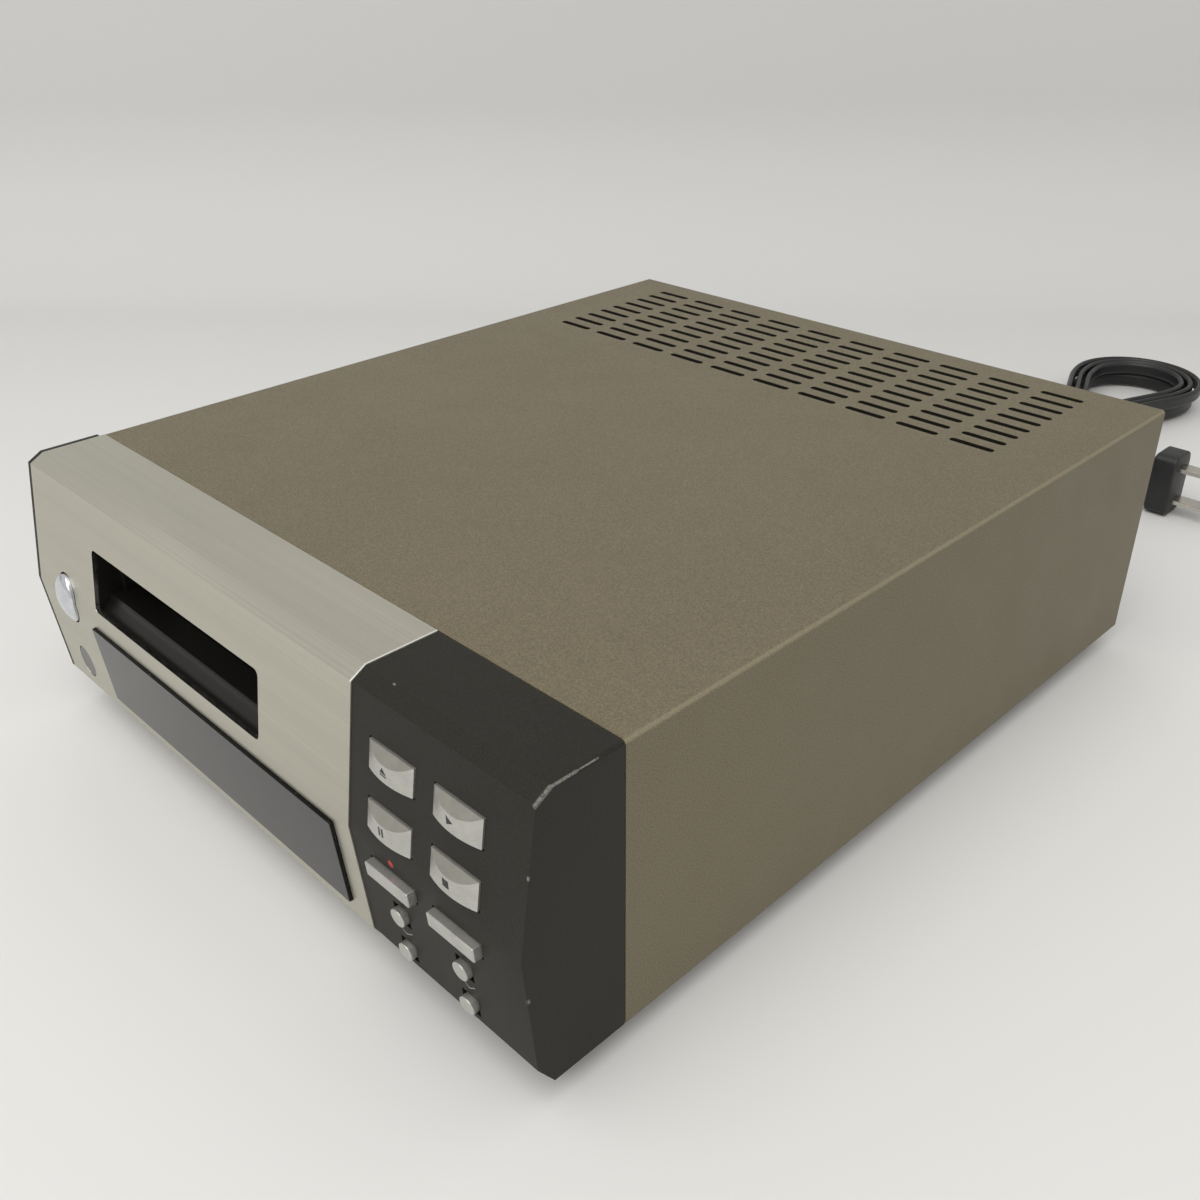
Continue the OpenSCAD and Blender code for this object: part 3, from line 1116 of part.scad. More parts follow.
module plug_blades() color(satin) for (s = [-1, 1]) difference() {
    block([plug_face_x, plug_y - blade_w / 2, plug_z + s * blade_pitch / 2 - blade_t / 2],
        [plug_face_x + blade_len, plug_y + blade_w / 2, plug_z + s * blade_pitch / 2 + blade_t / 2]);
    translate([plug_face_x + 11.9, plug_y, 0]) cylinder(40, 1.6, 1.6);
}

chassis_tray();
top_cover();
rear_panel();
front_base();
silver_fascia();
display_window();
display_tube();
display_board();
remote_window();
remote_sensor();
slot_bezel();
slot_door();
door_spring();
power_button();
eject_button();
pause_button();
play_button();
stop_button();
record_button();
mode_button();
upper_left_dot_button();
lower_left_dot_button();
upper_right_dot_button();
lower_right_dot_button();
key_board();
key_switches();
main_board();
chips();
capacitors();
heat_sink();
transformer_core();
transformer_coil();
drive_brackets();
drive_dampers();
drive_base();
disc_holder();
cam_slide();
loading_motor();
loading_pinion();
loading_wheel();
spindle_motor();
turntable();
optical_pickup();
guide_rods();
sled_motor();
sled_pinion();
head_arm();
line_jacks();
optical_jacks();
control_jack();
ribbon_cable();
feet();
cover_screws();
fixing_screws();
cord_bushing();
mains_cord();
cord_hank();
cord_tie();
plug_body();
plug_blades();
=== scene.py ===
"""Dresses the minidisc deck: finishes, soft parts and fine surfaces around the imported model.

Everything is in metres in the row frame: X to the right seen from the front, Y to the rear, Z up from the
surface under the feet. Sizes that the front panel needs are given in the deck frame, whose origin lies
under the middle of the cover's front edge; the frame gives that place.
"""

from __future__ import annotations

import json
import logging
import math
from collections.abc import Callable
from dataclasses import dataclass, field
from enum import Enum

import bmesh
import bpy
import numpy as np
from mathutils import Matrix, Vector


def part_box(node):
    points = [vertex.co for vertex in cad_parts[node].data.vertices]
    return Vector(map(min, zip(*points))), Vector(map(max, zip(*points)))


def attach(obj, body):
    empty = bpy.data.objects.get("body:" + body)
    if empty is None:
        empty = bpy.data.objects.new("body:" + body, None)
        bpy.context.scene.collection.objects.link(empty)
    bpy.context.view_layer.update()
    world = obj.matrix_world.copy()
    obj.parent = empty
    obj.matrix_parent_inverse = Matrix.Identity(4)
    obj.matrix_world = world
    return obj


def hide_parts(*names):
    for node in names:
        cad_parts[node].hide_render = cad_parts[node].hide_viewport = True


LOG = logging.getLogger("deck")
MM = 0.001
Colour = tuple[float, float, float]
Pair = tuple[float, float]
Point = tuple[float, float, float]
Stroke = tuple[Point, Point, float]
Socket = bpy.types.NodeSocket

# Most of a noise pattern's values lie in this span.
NOISE_SPAN: Pair = (0.3, 0.7)
# Pale strokes are real scuffs on some edges and a painted highlight on others.
# Share of a stroke's radius inside which it is full, and how fine its flakes are.
FULL_WEAR_AND_HIGHLIGHT = 0.3
WEAR_AND_HIGHLIGHT_FLAKES_PER_M = 2500
PALE_DUST: Colour = (150, 148, 142)
GREY_DUST: Colour = (120, 118, 112)
# A print stands this far out of its surface, and its root lies this far inside.
PRINT_OUT = 0.012 * MM
PRINT_ROOT = 0.02 * MM


def linear(colour: Colour) -> tuple[float, float, float, float]:
    """Turns a colour as it looks on a screen, 0 to 255, into linear light.

    Args:
        colour: Red, green and blue as seen, 0 to 255.

    Returns:
        Red, green, blue and alpha for a shader socket.
    """
    seen = np.array(colour, float) / 255
    low = seen / 12.92
    high = ((seen + 0.055) / 1.055) ** 2.4
    red, green, blue = np.where(seen <= 0.04045, low, high)
    return float(red), float(green), float(blue), 1.0


# --------------------------------------------------------------------------------------------------
# Shader building
# --------------------------------------------------------------------------------------------------


class Shade:
    """A material's node tree, with short calls for the patterns that the finishes share."""

    def __init__(self, name: str) -> None:
        """Starts a material with one Principled shader and the object's own coordinates."""
        self.material = bpy.data.materials.new(name)
        self.material.use_nodes = True
        self.tree = self.material.node_tree
        self.tree.nodes.clear()
        self.shader = self.node("ShaderNodeBsdfPrincipled")
        output = self.node("ShaderNodeOutputMaterial")
        self.tree.links.new(self.shader.outputs[0], output.inputs[0])
        self.place = self.node("ShaderNodeTexCoord").outputs["Object"]

    def node(self, kind: str) -> bpy.types.Node:
        """Adds a node of a kind."""
        return self.tree.nodes.new(kind)

    def join(self, source: Socket, target: Socket) -> None:
        """Links two sockets."""
        self.tree.links.new(source, target)

    def plain(self, **sockets: float | tuple) -> None:
        """Sets the shader's own sockets; underscores in a name stand for spaces."""
        for name, value in sockets.items():
            self.shader.inputs[name.replace("_", " ")].default_value = value

    def stretch(self, scale: Point, turn: Point = (0, 0, 0)) -> Socket:
        """Scales and turns the object's coordinates.

        Args:
            scale: How much finer the pattern is along each axis.
            turn: Rotation in degrees.

        Returns:
            The vector socket.
        """
        mapping = self.node("ShaderNodeMapping")
        self.join(self.place, mapping.inputs["Vector"])
        mapping.inputs["Rotation"].default_value = tuple(math.radians(a) for a in turn)
        mapping.inputs["Scale"].default_value = scale
        return mapping.outputs[0]

    def noise(
        self, scale: float, detail: float = 2, rough: float = 0.5, vector: Socket | None = None
    ) -> Socket:
        """Adds smooth noise.

        Args:
            scale: Waves per metre.
            detail: Number of finer layers.
            rough: Strength of the finer layers.
            vector: Coordinates, or the object's own.

        Returns:
            The value socket, about 0 to 1.
        """
        noise = self.node("ShaderNodeTexNoise")
        self.join(vector or self.place, noise.inputs["Vector"])
        noise.inputs["Scale"].default_value = scale
        noise.inputs["Detail"].default_value = detail
        noise.inputs["Roughness"].default_value = rough
        return noise.outputs["Fac"]

    def ramp(self, value: Socket, low: float, high: float, out: Pair = (0, 1)) -> Socket:
        """Maps a value from low..high to out[0]..out[1], clamped.

        Args:
            value: The value socket.
            low: Value that gives out[0].
            high: Value that gives out[1].
            out: The two results.

        Returns:
            The value socket.
        """
        node = self.node("ShaderNodeMapRange")
        self.join(value, node.inputs["Value"])
        node.inputs["From Min"].default_value = low
        node.inputs["From Max"].default_value = high
        node.inputs["To Min"].default_value = out[0]
        node.inputs["To Max"].default_value = out[1]
        return node.outputs["Result"]

    def sum(self, first: Socket, second: Socket, how: str = "ADD") -> Socket:
        """Joins two values by a named operation, clamped to 0..1.

        Args:
            first: First value.
            second: Second value.
            how: The operation's name.

        Returns:
            The value socket.
        """
        node = self.node("ShaderNodeMath")
        node.operation = how
        node.use_clamp = True
        self.join(first, node.inputs[0])
        self.join(second, node.inputs[1])
        return node.outputs[0]

    def feed(self, value: Socket | Point | float, target: Socket) -> None:
        """Links a socket to a target, or gives the target a fixed value."""
        if isinstance(value, Socket):
            self.join(value, target)
        else:
            target.default_value = value

    def blend(self, share: Socket | float, first: Socket | Colour, second: Socket | Colour) -> Socket:
        """Mixes two colours, each a screen colour or a socket.

        Args:
            share: Share of the second colour.
            first: Screen colour or colour socket.
            second: Screen colour or colour socket.

        Returns:
            The colour socket.
        """
        node = self.node("ShaderNodeMix")
        node.data_type = "RGBA"
        self.feed(share, node.inputs[0])
        for socket, colour in ((node.inputs[6], first), (node.inputs[7], second)):
            self.feed(linear(colour) if isinstance(colour, tuple) else colour, socket)
        return node.outputs[2]

    def vector(self, how: str, first: Socket | Point, second: Socket | Point) -> bpy.types.Node:
        """Adds a named vector operation.

        Args:
            how: The operation's name.
            first: Vector or socket.
            second: Vector or socket; for SCALE the factor's socket.

        Returns:
            The node.
        """
        node = self.node("ShaderNodeVectorMath")
        node.operation = how
        self.feed(first, node.inputs[0])
        self.feed(second, node.inputs["Scale" if how == "SCALE" else 1])
        return node

    def along(self, strokes: tuple[Stroke, ...]) -> Socket:
        """Says how close a point is to any of some straight strokes.

        A point p lies nearest to a stroke at the share (p - start) . run / run . run of its run,
        kept in 0..1.

        Args:
            strokes: Start, end and radius of each stroke, in metres.

        Returns:
            A value that is 1 on a stroke and 0 past its radius.
        """
        total: Socket | None = None
        for start, end, radius in strokes:
            run = Vector(end) - Vector(start)
            reach = self.vector("SUBTRACT", self.place, start).outputs["Vector"]
            part = self.vector("DOT_PRODUCT", reach, tuple(run / run.length_squared)).outputs["Value"]
            foot = self.vector("SCALE", tuple(run), self.ramp(part, 0, 1)).outputs["Vector"]
            away = self.vector("DISTANCE", reach, foot).outputs["Value"]
            one = self.ramp(away, FULL_WEAR_AND_HIGHLIGHT * radius, radius, (1, 0))
            total = one if total is None else self.sum(total, one, "MAXIMUM")
        assert total is not None
        return total

    def one_sided(self) -> None:
        """Leaves the surface clear from its back, so that a backdrop hides nothing from behind."""
        seen = self.node("ShaderNodeMixShader")
        output = next(node for node in self.tree.nodes if node.type == "OUTPUT_MATERIAL")
        self.join(self.node("ShaderNodeNewGeometry").outputs["Backfacing"], seen.inputs[0])
        self.join(self.shader.outputs[0], seen.inputs[1])
        self.join(self.node("ShaderNodeBsdfTransparent").outputs[0], seen.inputs[2])
        self.join(seen.outputs[0], output.inputs[0])

    def colour(self, socket: Socket) -> None:
        """Gives the shader its colour."""
        self.join(socket, self.shader.inputs["Base Color"])

    def roughness(self, socket: Socket) -> None:
        """Gives the shader its roughness."""
        self.join(socket, self.shader.inputs["Roughness"])

    def bump(self, height: Socket, depth: float, strength: float = 1.0) -> None:
        """Raises the surface by a height pattern; a second call adds to the first.

        Args:
            height: Pattern, 0 to 1.
            depth: Height of 1, in metres.
            strength: Share of the effect.
        """
        node = self.node("ShaderNodeBump")
        node.inputs["Distance"].default_value = depth
        node.inputs["Strength"].default_value = strength
        self.join(height, node.inputs["Height"])
        normal = self.shader.inputs["Normal"]
        if normal.links:
            self.join(normal.links[0].from_socket, node.inputs["Normal"])
        self.join(node.outputs[0], normal)


# --------------------------------------------------------------------------------------------------
# Finishes
# --------------------------------------------------------------------------------------------------


@dataclass(frozen=True)
class Finish:
    """What every finish has: name, colour as seen, roughness, and pale strokes along edges, real scuffs on
    some and a painted highlight on others.
    """

    name: str
    colour: Colour
    wear_and_highlight_strokes: tuple[Stroke, ...] = ()
    wear_and_highlight_colour: Colour = (150, 148, 140)
    wear_and_highlight_share: float = 1.0
    wear_and_highlight_break: float = 0.5
    roughness: float = 0.5

    def material(self) -> bpy.types.Material:
        """Makes the material once and returns it."""
        look = f"{self.name}_look"
        known = bpy.data.materials.get(look)
        if known is not None:
            return known
        shade = Shade(look)
        self.paint(shade)
        shade.material.diffuse_color = linear(self.colour)
        return shade.material

    def paint(self, shade: Shade) -> None:
        """Fills in the node tree; each finish has its own."""
        raise NotImplementedError

    def shifted(self, by: float) -> Colour:
        """The colour made lighter or darker by a factor."""
        red, green, blue = (min(255.0, by * part) for part in self.colour)
        return red, green, blue

    def toned(self, shade: Shade, pattern: Socket, dark: float, light: float) -> Socket:
        """The colour times one factor where a pattern is 0, and times another where it is 1."""
        return shade.blend(pattern, self.shifted(dark), self.shifted(light))

    def matted(self, shade: Shade, pattern: Socket, less: float, more: float) -> None:
        """Lets the roughness run with a pattern, from less than the finish's own to more."""
        shade.roughness(shade.ramp(pattern, 0, 1, (self.roughness - less, self.roughness + more)))

    def wear_and_highlight(self, shade: Shade, body: Socket) -> Socket:
        """Blends a paler colour over a colour along the given strokes, broken into flakes by noise: real
        scuffs on some edges, a painted highlight on others.

        Args:
            shade: The node tree.
            body: The colour away from the strokes.

        Returns:
            The colour socket.
        """
        if not self.wear_and_highlight_strokes:
            return body
        flakes = shade.noise(WEAR_AND_HIGHLIGHT_FLAKES_PER_M, 3, 0.6)
        broken = shade.ramp(flakes, self.wear_and_highlight_break - 0.12, self.wear_and_highlight_break + 0.05)
        wear_and_highlight_mask = shade.sum(shade.along(self.wear_and_highlight_strokes), broken, "MULTIPLY")
        return shade.blend(shade.ramp(wear_and_highlight_mask, 0, 1, (0, self.wear_and_highlight_share)), body, self.wear_and_highlight_colour)


@dataclass(frozen=True)
class SheetPaint(Finish):
    """Textured metallic paint on sheet steel: fine sparkle, a slight orange peel and soft blotches."""

    metallic: float = 0.12
    shine: float = 0.35
    sparkle: float = 0.13
    sparkle_share: float = 0.55
    grain_per_m: float = 2600
    grain_depth: float = 0.03 * MM
    blotches_per_m: float = 14
    peel_per_m: float = 60

    def paint(self, shade: Shade) -> None:
        """Mixes sparkle over slow blotches, and raises the same grain."""
        grain = shade.ramp(shade.noise(self.grain_per_m, 1, 0.6), 0.38, 0.68)
        cloud = shade.ramp(shade.noise(self.blotches_per_m, 4, 0.55), *NOISE_SPAN)
        base = self.toned(shade, cloud, 0.965, 1.03)
        spark = self.toned(shade, grain, 1 - self.sparkle, 1 + self.sparkle)
        # Any given strokes lay a paler colour over the paint: on the cover, a painted highlight along its
        # bends.
        shade.colour(self.wear_and_highlight(shade, shade.blend(self.sparkle_share, base, spark)))
        self.matted(shade, shade.ramp(shade.noise(self.peel_per_m, 3), *NOISE_SPAN), 0.03, 0.04)
        shade.plain(Metallic=self.metallic, Specular_IOR_Level=self.shine)
        shade.bump(grain, self.grain_depth, 0.5)


@dataclass(frozen=True)
class BrushedSheet(Finish):
    """Metal brushed along X: long fine lines in colour, gloss and height."""

    roughness: float = 0.34
    metallic: float = 0.75
    contrast: float = 0.06
    wide_contrast: float = 0.03
    wide_share: float = 0.45
    lines_per_m: float = 900
    line_depth: float = 0.008 * MM

    def paint(self, shade: Shade) -> None:
        """Stretches noise along X into brush lines of two widths."""
        narrow, broad = 3 * self.lines_per_m, self.lines_per_m / 5
        fine = shade.noise(1, 3, 0.7, shade.stretch((6, narrow, narrow)))
        wide = shade.noise(1, 2, 0.5, shade.stretch((1.5, broad, broad)))
        lines = shade.ramp(fine, *NOISE_SPAN)
        tint = self.toned(shade, lines, 1 - self.contrast, 1 + self.contrast)
        bands = shade.ramp(wide, *NOISE_SPAN)
        slow = self.toned(shade, bands, 1 - self.wide_contrast, 1 + self.wide_contrast)
        # Any given strokes lay a paler colour over the brushing: on the fascia, a painted highlight along
        # its edges.
        shade.colour(self.wear_and_highlight(shade, shade.blend(self.wide_share, tint, slow)))
        self.matted(shade, lines, 0.05, 0.07)
        shade.plain(Metallic=self.metallic, Anisotropic=0.5)
        shade.bump(lines, self.line_depth, 0.5)


@dataclass(frozen=True)
class Moulding(Finish):
    """Moulded plastic with a fine spark-eroded grain, and pale strokes where given: real scuffs, and on the
    dark moulding's top edge a painted highlight.
    """

    roughness: float = 0.42
    metallic: float = 0.0
    shine: float = 0.5
    grain_per_m: float = 3000
    grain_depth: float = 0.02 * MM
    cloud_per_m: float = 22
    speckle: float = 0.06

    def paint(self, shade: Shade) -> None:
        """Grain in colour and height, slow cloud in the gloss, and flaked pale strokes of scuffs and
        painted highlight along the given edges.
        """
        grain = shade.ramp(shade.noise(self.grain_per_m, 2, 0.6), 0.35, 0.7)
        cloud = shade.ramp(shade.noise(self.cloud_per_m, 3), *NOISE_SPAN)
        body = self.toned(shade, grain, 1 - self.speckle, 1 + self.speckle)
        shade.colour(self.wear_and_highlight(shade, body))
        self.matted(shade, cloud, 0.04, 0.05)
        shade.plain(Metallic=self.metallic, Specular_IOR_Level=self.shine)
        shade.bump(grain, self.grain_depth, 0.6)


@dataclass(frozen=True)
class Gloss(Finish):
    """Polished plastic or glass: a deep even colour under a clear coat, with faint dust and smears."""

    roughness: float = 0.07
    coat: float = 0.6
    coat_roughness: float = 0.03
    dust: float = 0.05
    speck_share: float = 0.25
    specks_per_m: float = 1400
    shine: float = 0.5

    def paint(self, shade: Shade) -> None:
        """Adds faint smears to gloss and colour, and specks of dust to the colour."""
        smear = shade.ramp(shade.noise(1, 4, 0.6, shade.stretch((30, 90, 90), (0, 12, 0))), 0.35, 0.75)
        specks = shade.ramp(shade.noise(self.specks_per_m, 1), 0.70, 0.80, (0, self.speck_share))
        dusty = shade.blend(smear, self.colour, self.shifted(1 + self.dust))
        shade.colour(shade.blend(specks, dusty, PALE_DUST))
        self.matted(shade, smear, 0, 0.05)
        shade.plain(
            Coat_Weight=self.coat, Coat_Roughness=self.coat_roughness, Specular_IOR_Level=self.shine
        )


@dataclass(frozen=True)
class Plating(Finish):
    """Plated metal or a metallised moulding: clean, with a breath of haze and hairline marks."""

    roughness: float = 0.2
    metallic: float = 1.0
    haze: float = 0.06
    haze_per_m: float = 260
    marks_per_m: float = 700
    mark_turn_deg: float = 38
    brushed: bool = False

    def paint(self, shade: Shade) -> None:
        """Haze in colour and roughness, and hairlines or upright brush lines in height."""
        haze = shade.ramp(shade.noise(self.haze_per_m, 3, 0.6), *NOISE_SPAN)
        shade.colour(self.toned(shade, haze, 0.96, 1.03))
        self.matted(shade, haze, 0, self.haze)
        shade.plain(Metallic=self.metallic)
        if self.brushed:
            shade.bump(shade.noise(1, 2, 0.6, shade.stretch((5000, 200, 200))), 0.002 * MM, 0.2)
        else:
            hair = shade.stretch((60, self.marks_per_m, 60), (0, 0, self.mark_turn_deg))
            shade.bump(shade.ramp(shade.noise(1, 2, 0.6, hair), 0.62, 0.7), 0.004 * MM, 0.25)


@dataclass(frozen=True)
class SoftVinyl(Finish):
    """Soft vinyl or rubber: matt sheen, fine pores and a little dust."""

    dust: float = 0.12
    patches_per_m: float = 70
    pores_per_m: float = 2200
    pore_depth: float = 0.02 * MM

    def paint(self, shade: Shade) -> None:
        """Dust in slow patches and pores in height."""
        patches = shade.ramp(shade.noise(self.patches_per_m, 5, 0.65), 0.45, 0.8)
        pores = shade.ramp(shade.noise(self.pores_per_m, 2), 0.35, 0.65)
        shade.colour(shade.blend(shade.ramp(patches, 0, 1, (0, self.dust)), self.colour, GREY_DUST))
        self.matted(shade, patches, 0, 0.15)
        shade.bump(pores, self.pore_depth, 0.5)


@dataclass(frozen=True)
class SolderMask(Finish):
    """A circuit board: tracks that show under green varnish."""

    roughness: float = 0.28
    tracks_per_m: float = 420
    track_gap: float = 0.12
    track_depth: float = 0.03 * MM

    def paint(self, shade: Shade) -> None:
        """Bands of tracks from a brick pattern that is tipped a little, so that it shows on every side."""
        bricks = shade.node("ShaderNodeTexBrick")
        shade.join(shade.stretch((1, 1, 1), (12, 0, 0)), bricks.inputs["Vector"])
        bricks.inputs["Scale"].default_value = self.tracks_per_m
        bricks.inputs["Mortar Size"].default_value = self.track_gap
        bricks.inputs["Color1"].default_value = linear(self.shifted(1.25))
        bricks.inputs["Color2"].default_value = linear(self.shifted(1.1))
        bricks.inputs["Mortar"].default_value = linear(self.colour)
        shade.colour(bricks.outputs["Color"])
        self.matted(shade, shade.ramp(shade.noise(300), *NOISE_SPAN), 0, 0.12)
        shade.bump(bricks.outputs["Fac"], self.track_depth, 0.4)


@dataclass(frozen=True)
class Laminations(Finish):
    """A stack of thin steel plates: fine even lines across Y."""

    roughness: float = 0.35
    metallic: float = 0.8
    waves_per_m: float = 100
    plate_depth: float = 0.05 * MM

    def paint(self, shade: Shade) -> None:
        """Lines from a wave along Y."""
        wave = shade.node("ShaderNodeTexWave")
        wave.bands_direction = "Y"
        shade.join(shade.place, wave.inputs["Vector"])
        wave.inputs["Scale"].default_value = self.waves_per_m
        wave.inputs["Distortion"].default_value = 0.4
        shade.colour(self.toned(shade, wave.outputs["Fac"], 0.7, 1.15))
        self.matted(shade, shade.ramp(shade.noise(120, 3), *NOISE_SPAN), 0, 0.2)
        shade.plain(Metallic=self.metallic)
        shade.bump(wave.outputs["Fac"], self.plate_depth, 0.6)


# Pale strokes on the dark moulding's right-hand corner: the stroke over the brow's corner and the short
# ones are real scuffs and nicks, and the two tapering strokes back along the top edge are a painted
# highlight.
CORNER_WEAR_AND_HIGHLIGHT: tuple[Stroke, ...] = (
    ((0.0998, -0.1195, 0.0750), (0.0998, -0.1159, 0.0770), 0.0006),
    ((0.0998, -0.1159, 0.0770), (0.0998, -0.1100, 0.0770), 0.0004),
    ((0.0998, -0.1100, 0.0770), (0.0998, -0.1050, 0.0770), 0.00025),
    ((0.0998, -0.1216, 0.0610), (0.0998, -0.1217, 0.0606), 0.0004),
    ((0.0998, -0.1232, 0.0330), (0.0998, -0.1231, 0.0325), 0.0005),
    ((0.0570, -0.1160, 0.0771), (0.0574, -0.1160, 0.0771), 0.0003),
)
# Painted highlight: a pale line along each bend of the cover, where the bend catches the light.
BEND_HIGHLIGHTS: tuple[Stroke, ...] = (
    ((0.0996, -0.0984, 0.0768), (0.0996, 0.1300, 0.0768), 0.0007),
    ((-0.0996, -0.0984, 0.0768), (-0.0996, 0.1300, 0.0768), 0.0007),
)
# Painted highlight: a bright line along the fascia's right-hand top edge and down over its brow.
FASCIA_EDGE_HIGHLIGHTS: tuple[Stroke, ...] = (
    ((0.0482, -0.0990, 0.0775), (0.0482, -0.1160, 0.0775), 0.0005),
    ((0.0482, -0.1160, 0.0775), (0.0482, -0.1197, 0.0754), 0.0005),
)

# Bronze paint on the cover; its pale bend strokes are a painted highlight.
BRONZE = SheetPaint(
    "bronze_steel",
    (111, 103, 82),
    BEND_HIGHLIGHTS,
    (160, 150, 126),
    wear_and_highlight_share=0.4,
    wear_and_highlight_break=0.2,
    sparkle=0.2,
    grain_per_m=3000,
)
# Painted shade: a dark colour on the walls of the cover's vent slots, for the shade inside them.
SLOT_SHADE = SheetPaint("slot_shade", (26, 23, 16), roughness=0.6, metallic=0.0)
REAR_PAINT = SheetPaint("rear_steel", (62, 60, 57), sparkle=0.08, metallic=0.1, roughness=0.55)
# Dark moulding; its pale strokes are real scuffs at the corner and a painted highlight along the top edge.
CHARCOAL = Moulding(
    "charcoal_plastic",
    (40, 39, 34),
    CORNER_WEAR_AND_HIGHLIGHT,
    (138, 136, 128),
    wear_and_highlight_share=0.8,
    wear_and_highlight_break=0.45,
    roughness=0.48,
    shine=0.16,
    speckle=0.12,
)
# Brushed aluminium; its bright edge strokes are a painted highlight.
FASCIA = BrushedSheet(
    "brushed_fascia", (182, 179, 166), FASCIA_EDGE_HIGHLIGHTS, (240, 238, 230), wear_and_highlight_break=0.2
)
FASCIA_EDGE = Plating("bright_cut_edge", (214, 211, 203), roughness=0.18, marks_per_m=1200)
WINDOW = Gloss("smoked_window", (12, 12, 14), roughness=0.05, coat=0.0, shine=0.35)
WINDOW_EDGE = Gloss("window_edge", (9, 9, 9), roughness=0.2, coat=0.0, shine=0.25)
LENS = Gloss("dark_lens", (44, 42, 41), roughness=0.15, coat=0.0, shine=0.4)
BLACK_MOULDING = Moulding("black_plastic", (19, 18, 15), roughness=0.36, shine=0.35, grain_depth=0.00001)
GLOSS_BLACK = Gloss("gloss_black", (12, 12, 12), roughness=0.12, coat=0.0, shine=0.4)
# A darker copy of the button's finish for the upper facet of the main buttons: its darker colour is painted
# shade.
SHADED_CROWN = Plating("shaded_satin_crown", (155, 152, 144), roughness=0.34, metallic=0.7, haze=0.05, brushed=True)
BUTTON = Plating("satin_button", (186, 185, 179), roughness=0.26, metallic=0.7, haze=0.04, brushed=True)
CHROME = Plating("chrome_button", (214, 217, 222), roughness=0.06, haze=0.03)
ZINC = BrushedSheet("galvanised_steel", (168, 168, 166), roughness=0.4, metallic=0.9, lines_per_m=300)
SPRING_STEEL = Plating("spring_steel", (178, 178, 176), roughness=0.28)
BOARD = SolderMask("circuit_board", (26, 82, 52))
EPOXY = Moulding("chip_plastic", (30, 30, 31), roughness=0.5)
SLEEVE = Gloss("capacitor_sleeve", (36, 42, 84), roughness=0.25, coat=0.3)
ALUMINIUM = BrushedSheet("plain_aluminium", (150, 152, 156), roughness=0.38, metallic=0.95)
CORE = Laminations("core_steel", (112, 112, 116))
TAPE = Gloss("coil_tape", (214, 188, 84), roughness=0.3, coat=0.2)
RUBBER = SoftVinyl("foot_rubber", (30, 30, 30), roughness=0.7, dust=0.2)
DAMPER = SoftVinyl("damper_rubber", (48, 40, 40), roughness=0.6)
NYLON = Moulding("white_nylon", (222, 222, 212), roughness=0.45, speckle=0.02)
BRASS = Plating("brass_gear", (196, 164, 92), roughness=0.25)
DIE_CAST = Moulding("pickup_metal", (92, 92, 96), roughness=0.45, metallic=0.7)
GOLD = Plating("jack_plating", (222, 190, 118), roughness=0.16)
FLAT_CABLE = Moulding("flat_cable", (226, 226, 222), roughness=0.4, speckle=0.02)
DARK_SCREW = Plating("dark_screw", (58, 56, 54), roughness=0.35, metallic=0.8)
BRIGHT_SCREW = Plating("bright_screw", (186, 186, 182), roughness=0.26)
VINYL = SoftVinyl("cord_vinyl", (22, 22, 23), roughness=0.38, dust=0.06)
TIE = SoftVinyl("tie_plastic", (26, 26, 27), roughness=0.5)
PLUG = SoftVinyl("plug_vinyl", (24, 24, 25), roughness=0.42, dust=0.08)
NICKEL = Plating("blade_nickel", (198, 194, 184), roughness=0.22)
TUBE_GLASS = Gloss("display_glass", (58, 74, 74), roughness=0.08)
BLACK_INK = Moulding("black_ink", (22, 21, 20), roughness=0.5, speckle=0.04)
RED_INK = Moulding("red_ink", (176, 46, 38), roughness=0.5, speckle=0.04)
PALE_INK = Moulding("pale_ink", (168, 166, 160), roughness=0.5, speckle=0.04)
WHITE_RING = Moulding("white_insulator", (224, 222, 216), roughness=0.35, speckle=0.02)
RED_RING = Moulding("red_insulator", (170, 34, 30), roughness=0.35, speckle=0.03)

NODE_FINISH: dict[str, Finish] = {
    "chassis_tray": ZINC,
    "rear_panel": REAR_PAINT,
    "display_tube": TUBE_GLASS,
    "display_board": BOARD,
    "remote_sensor": EPOXY,
    "door_spring": SPRING_STEEL,
    "key_board": BOARD,
    "key_switches": EPOXY,
    "main_board": BOARD,
    "chips": EPOXY,
    "capacitors": SLEEVE,
    "heat_sink": ALUMINIUM,
    "transformer_core": CORE,
    "transformer_coil": TAPE,
    "drive_brackets": ZINC,
    "drive_dampers": DAMPER,
    "drive_base": ZINC,
    "disc_holder": SPRING_STEEL,
    "cam_slide": NYLON,
    "loading_motor": SPRING_STEEL,
    "loading_pinion": BRASS,
    "loading_wheel": NYLON,
    "spindle_motor": ZINC,
    "turntable": SPRING_STEEL,
    "optical_pickup": DIE_CAST,
    "guide_rods": SPRING_STEEL,
    "sled_motor": SPRING_STEEL,
    "sled_pinion": BRASS,
    "head_arm": SPRING_STEEL,
    "line_jacks": EPOXY,
    "optical_jacks": BLACK_MOULDING,
    "control_jack": BLACK_MOULDING,
    "ribbon_cable": FLAT_CABLE,
    "cover_screws": DARK_SCREW,
    "fixing_screws": BRIGHT_SCREW,
    "plug_blades": NICKEL,
}


# --------------------------------------------------------------------------------------------------
# Surfaces
# --------------------------------------------------------------------------------------------------


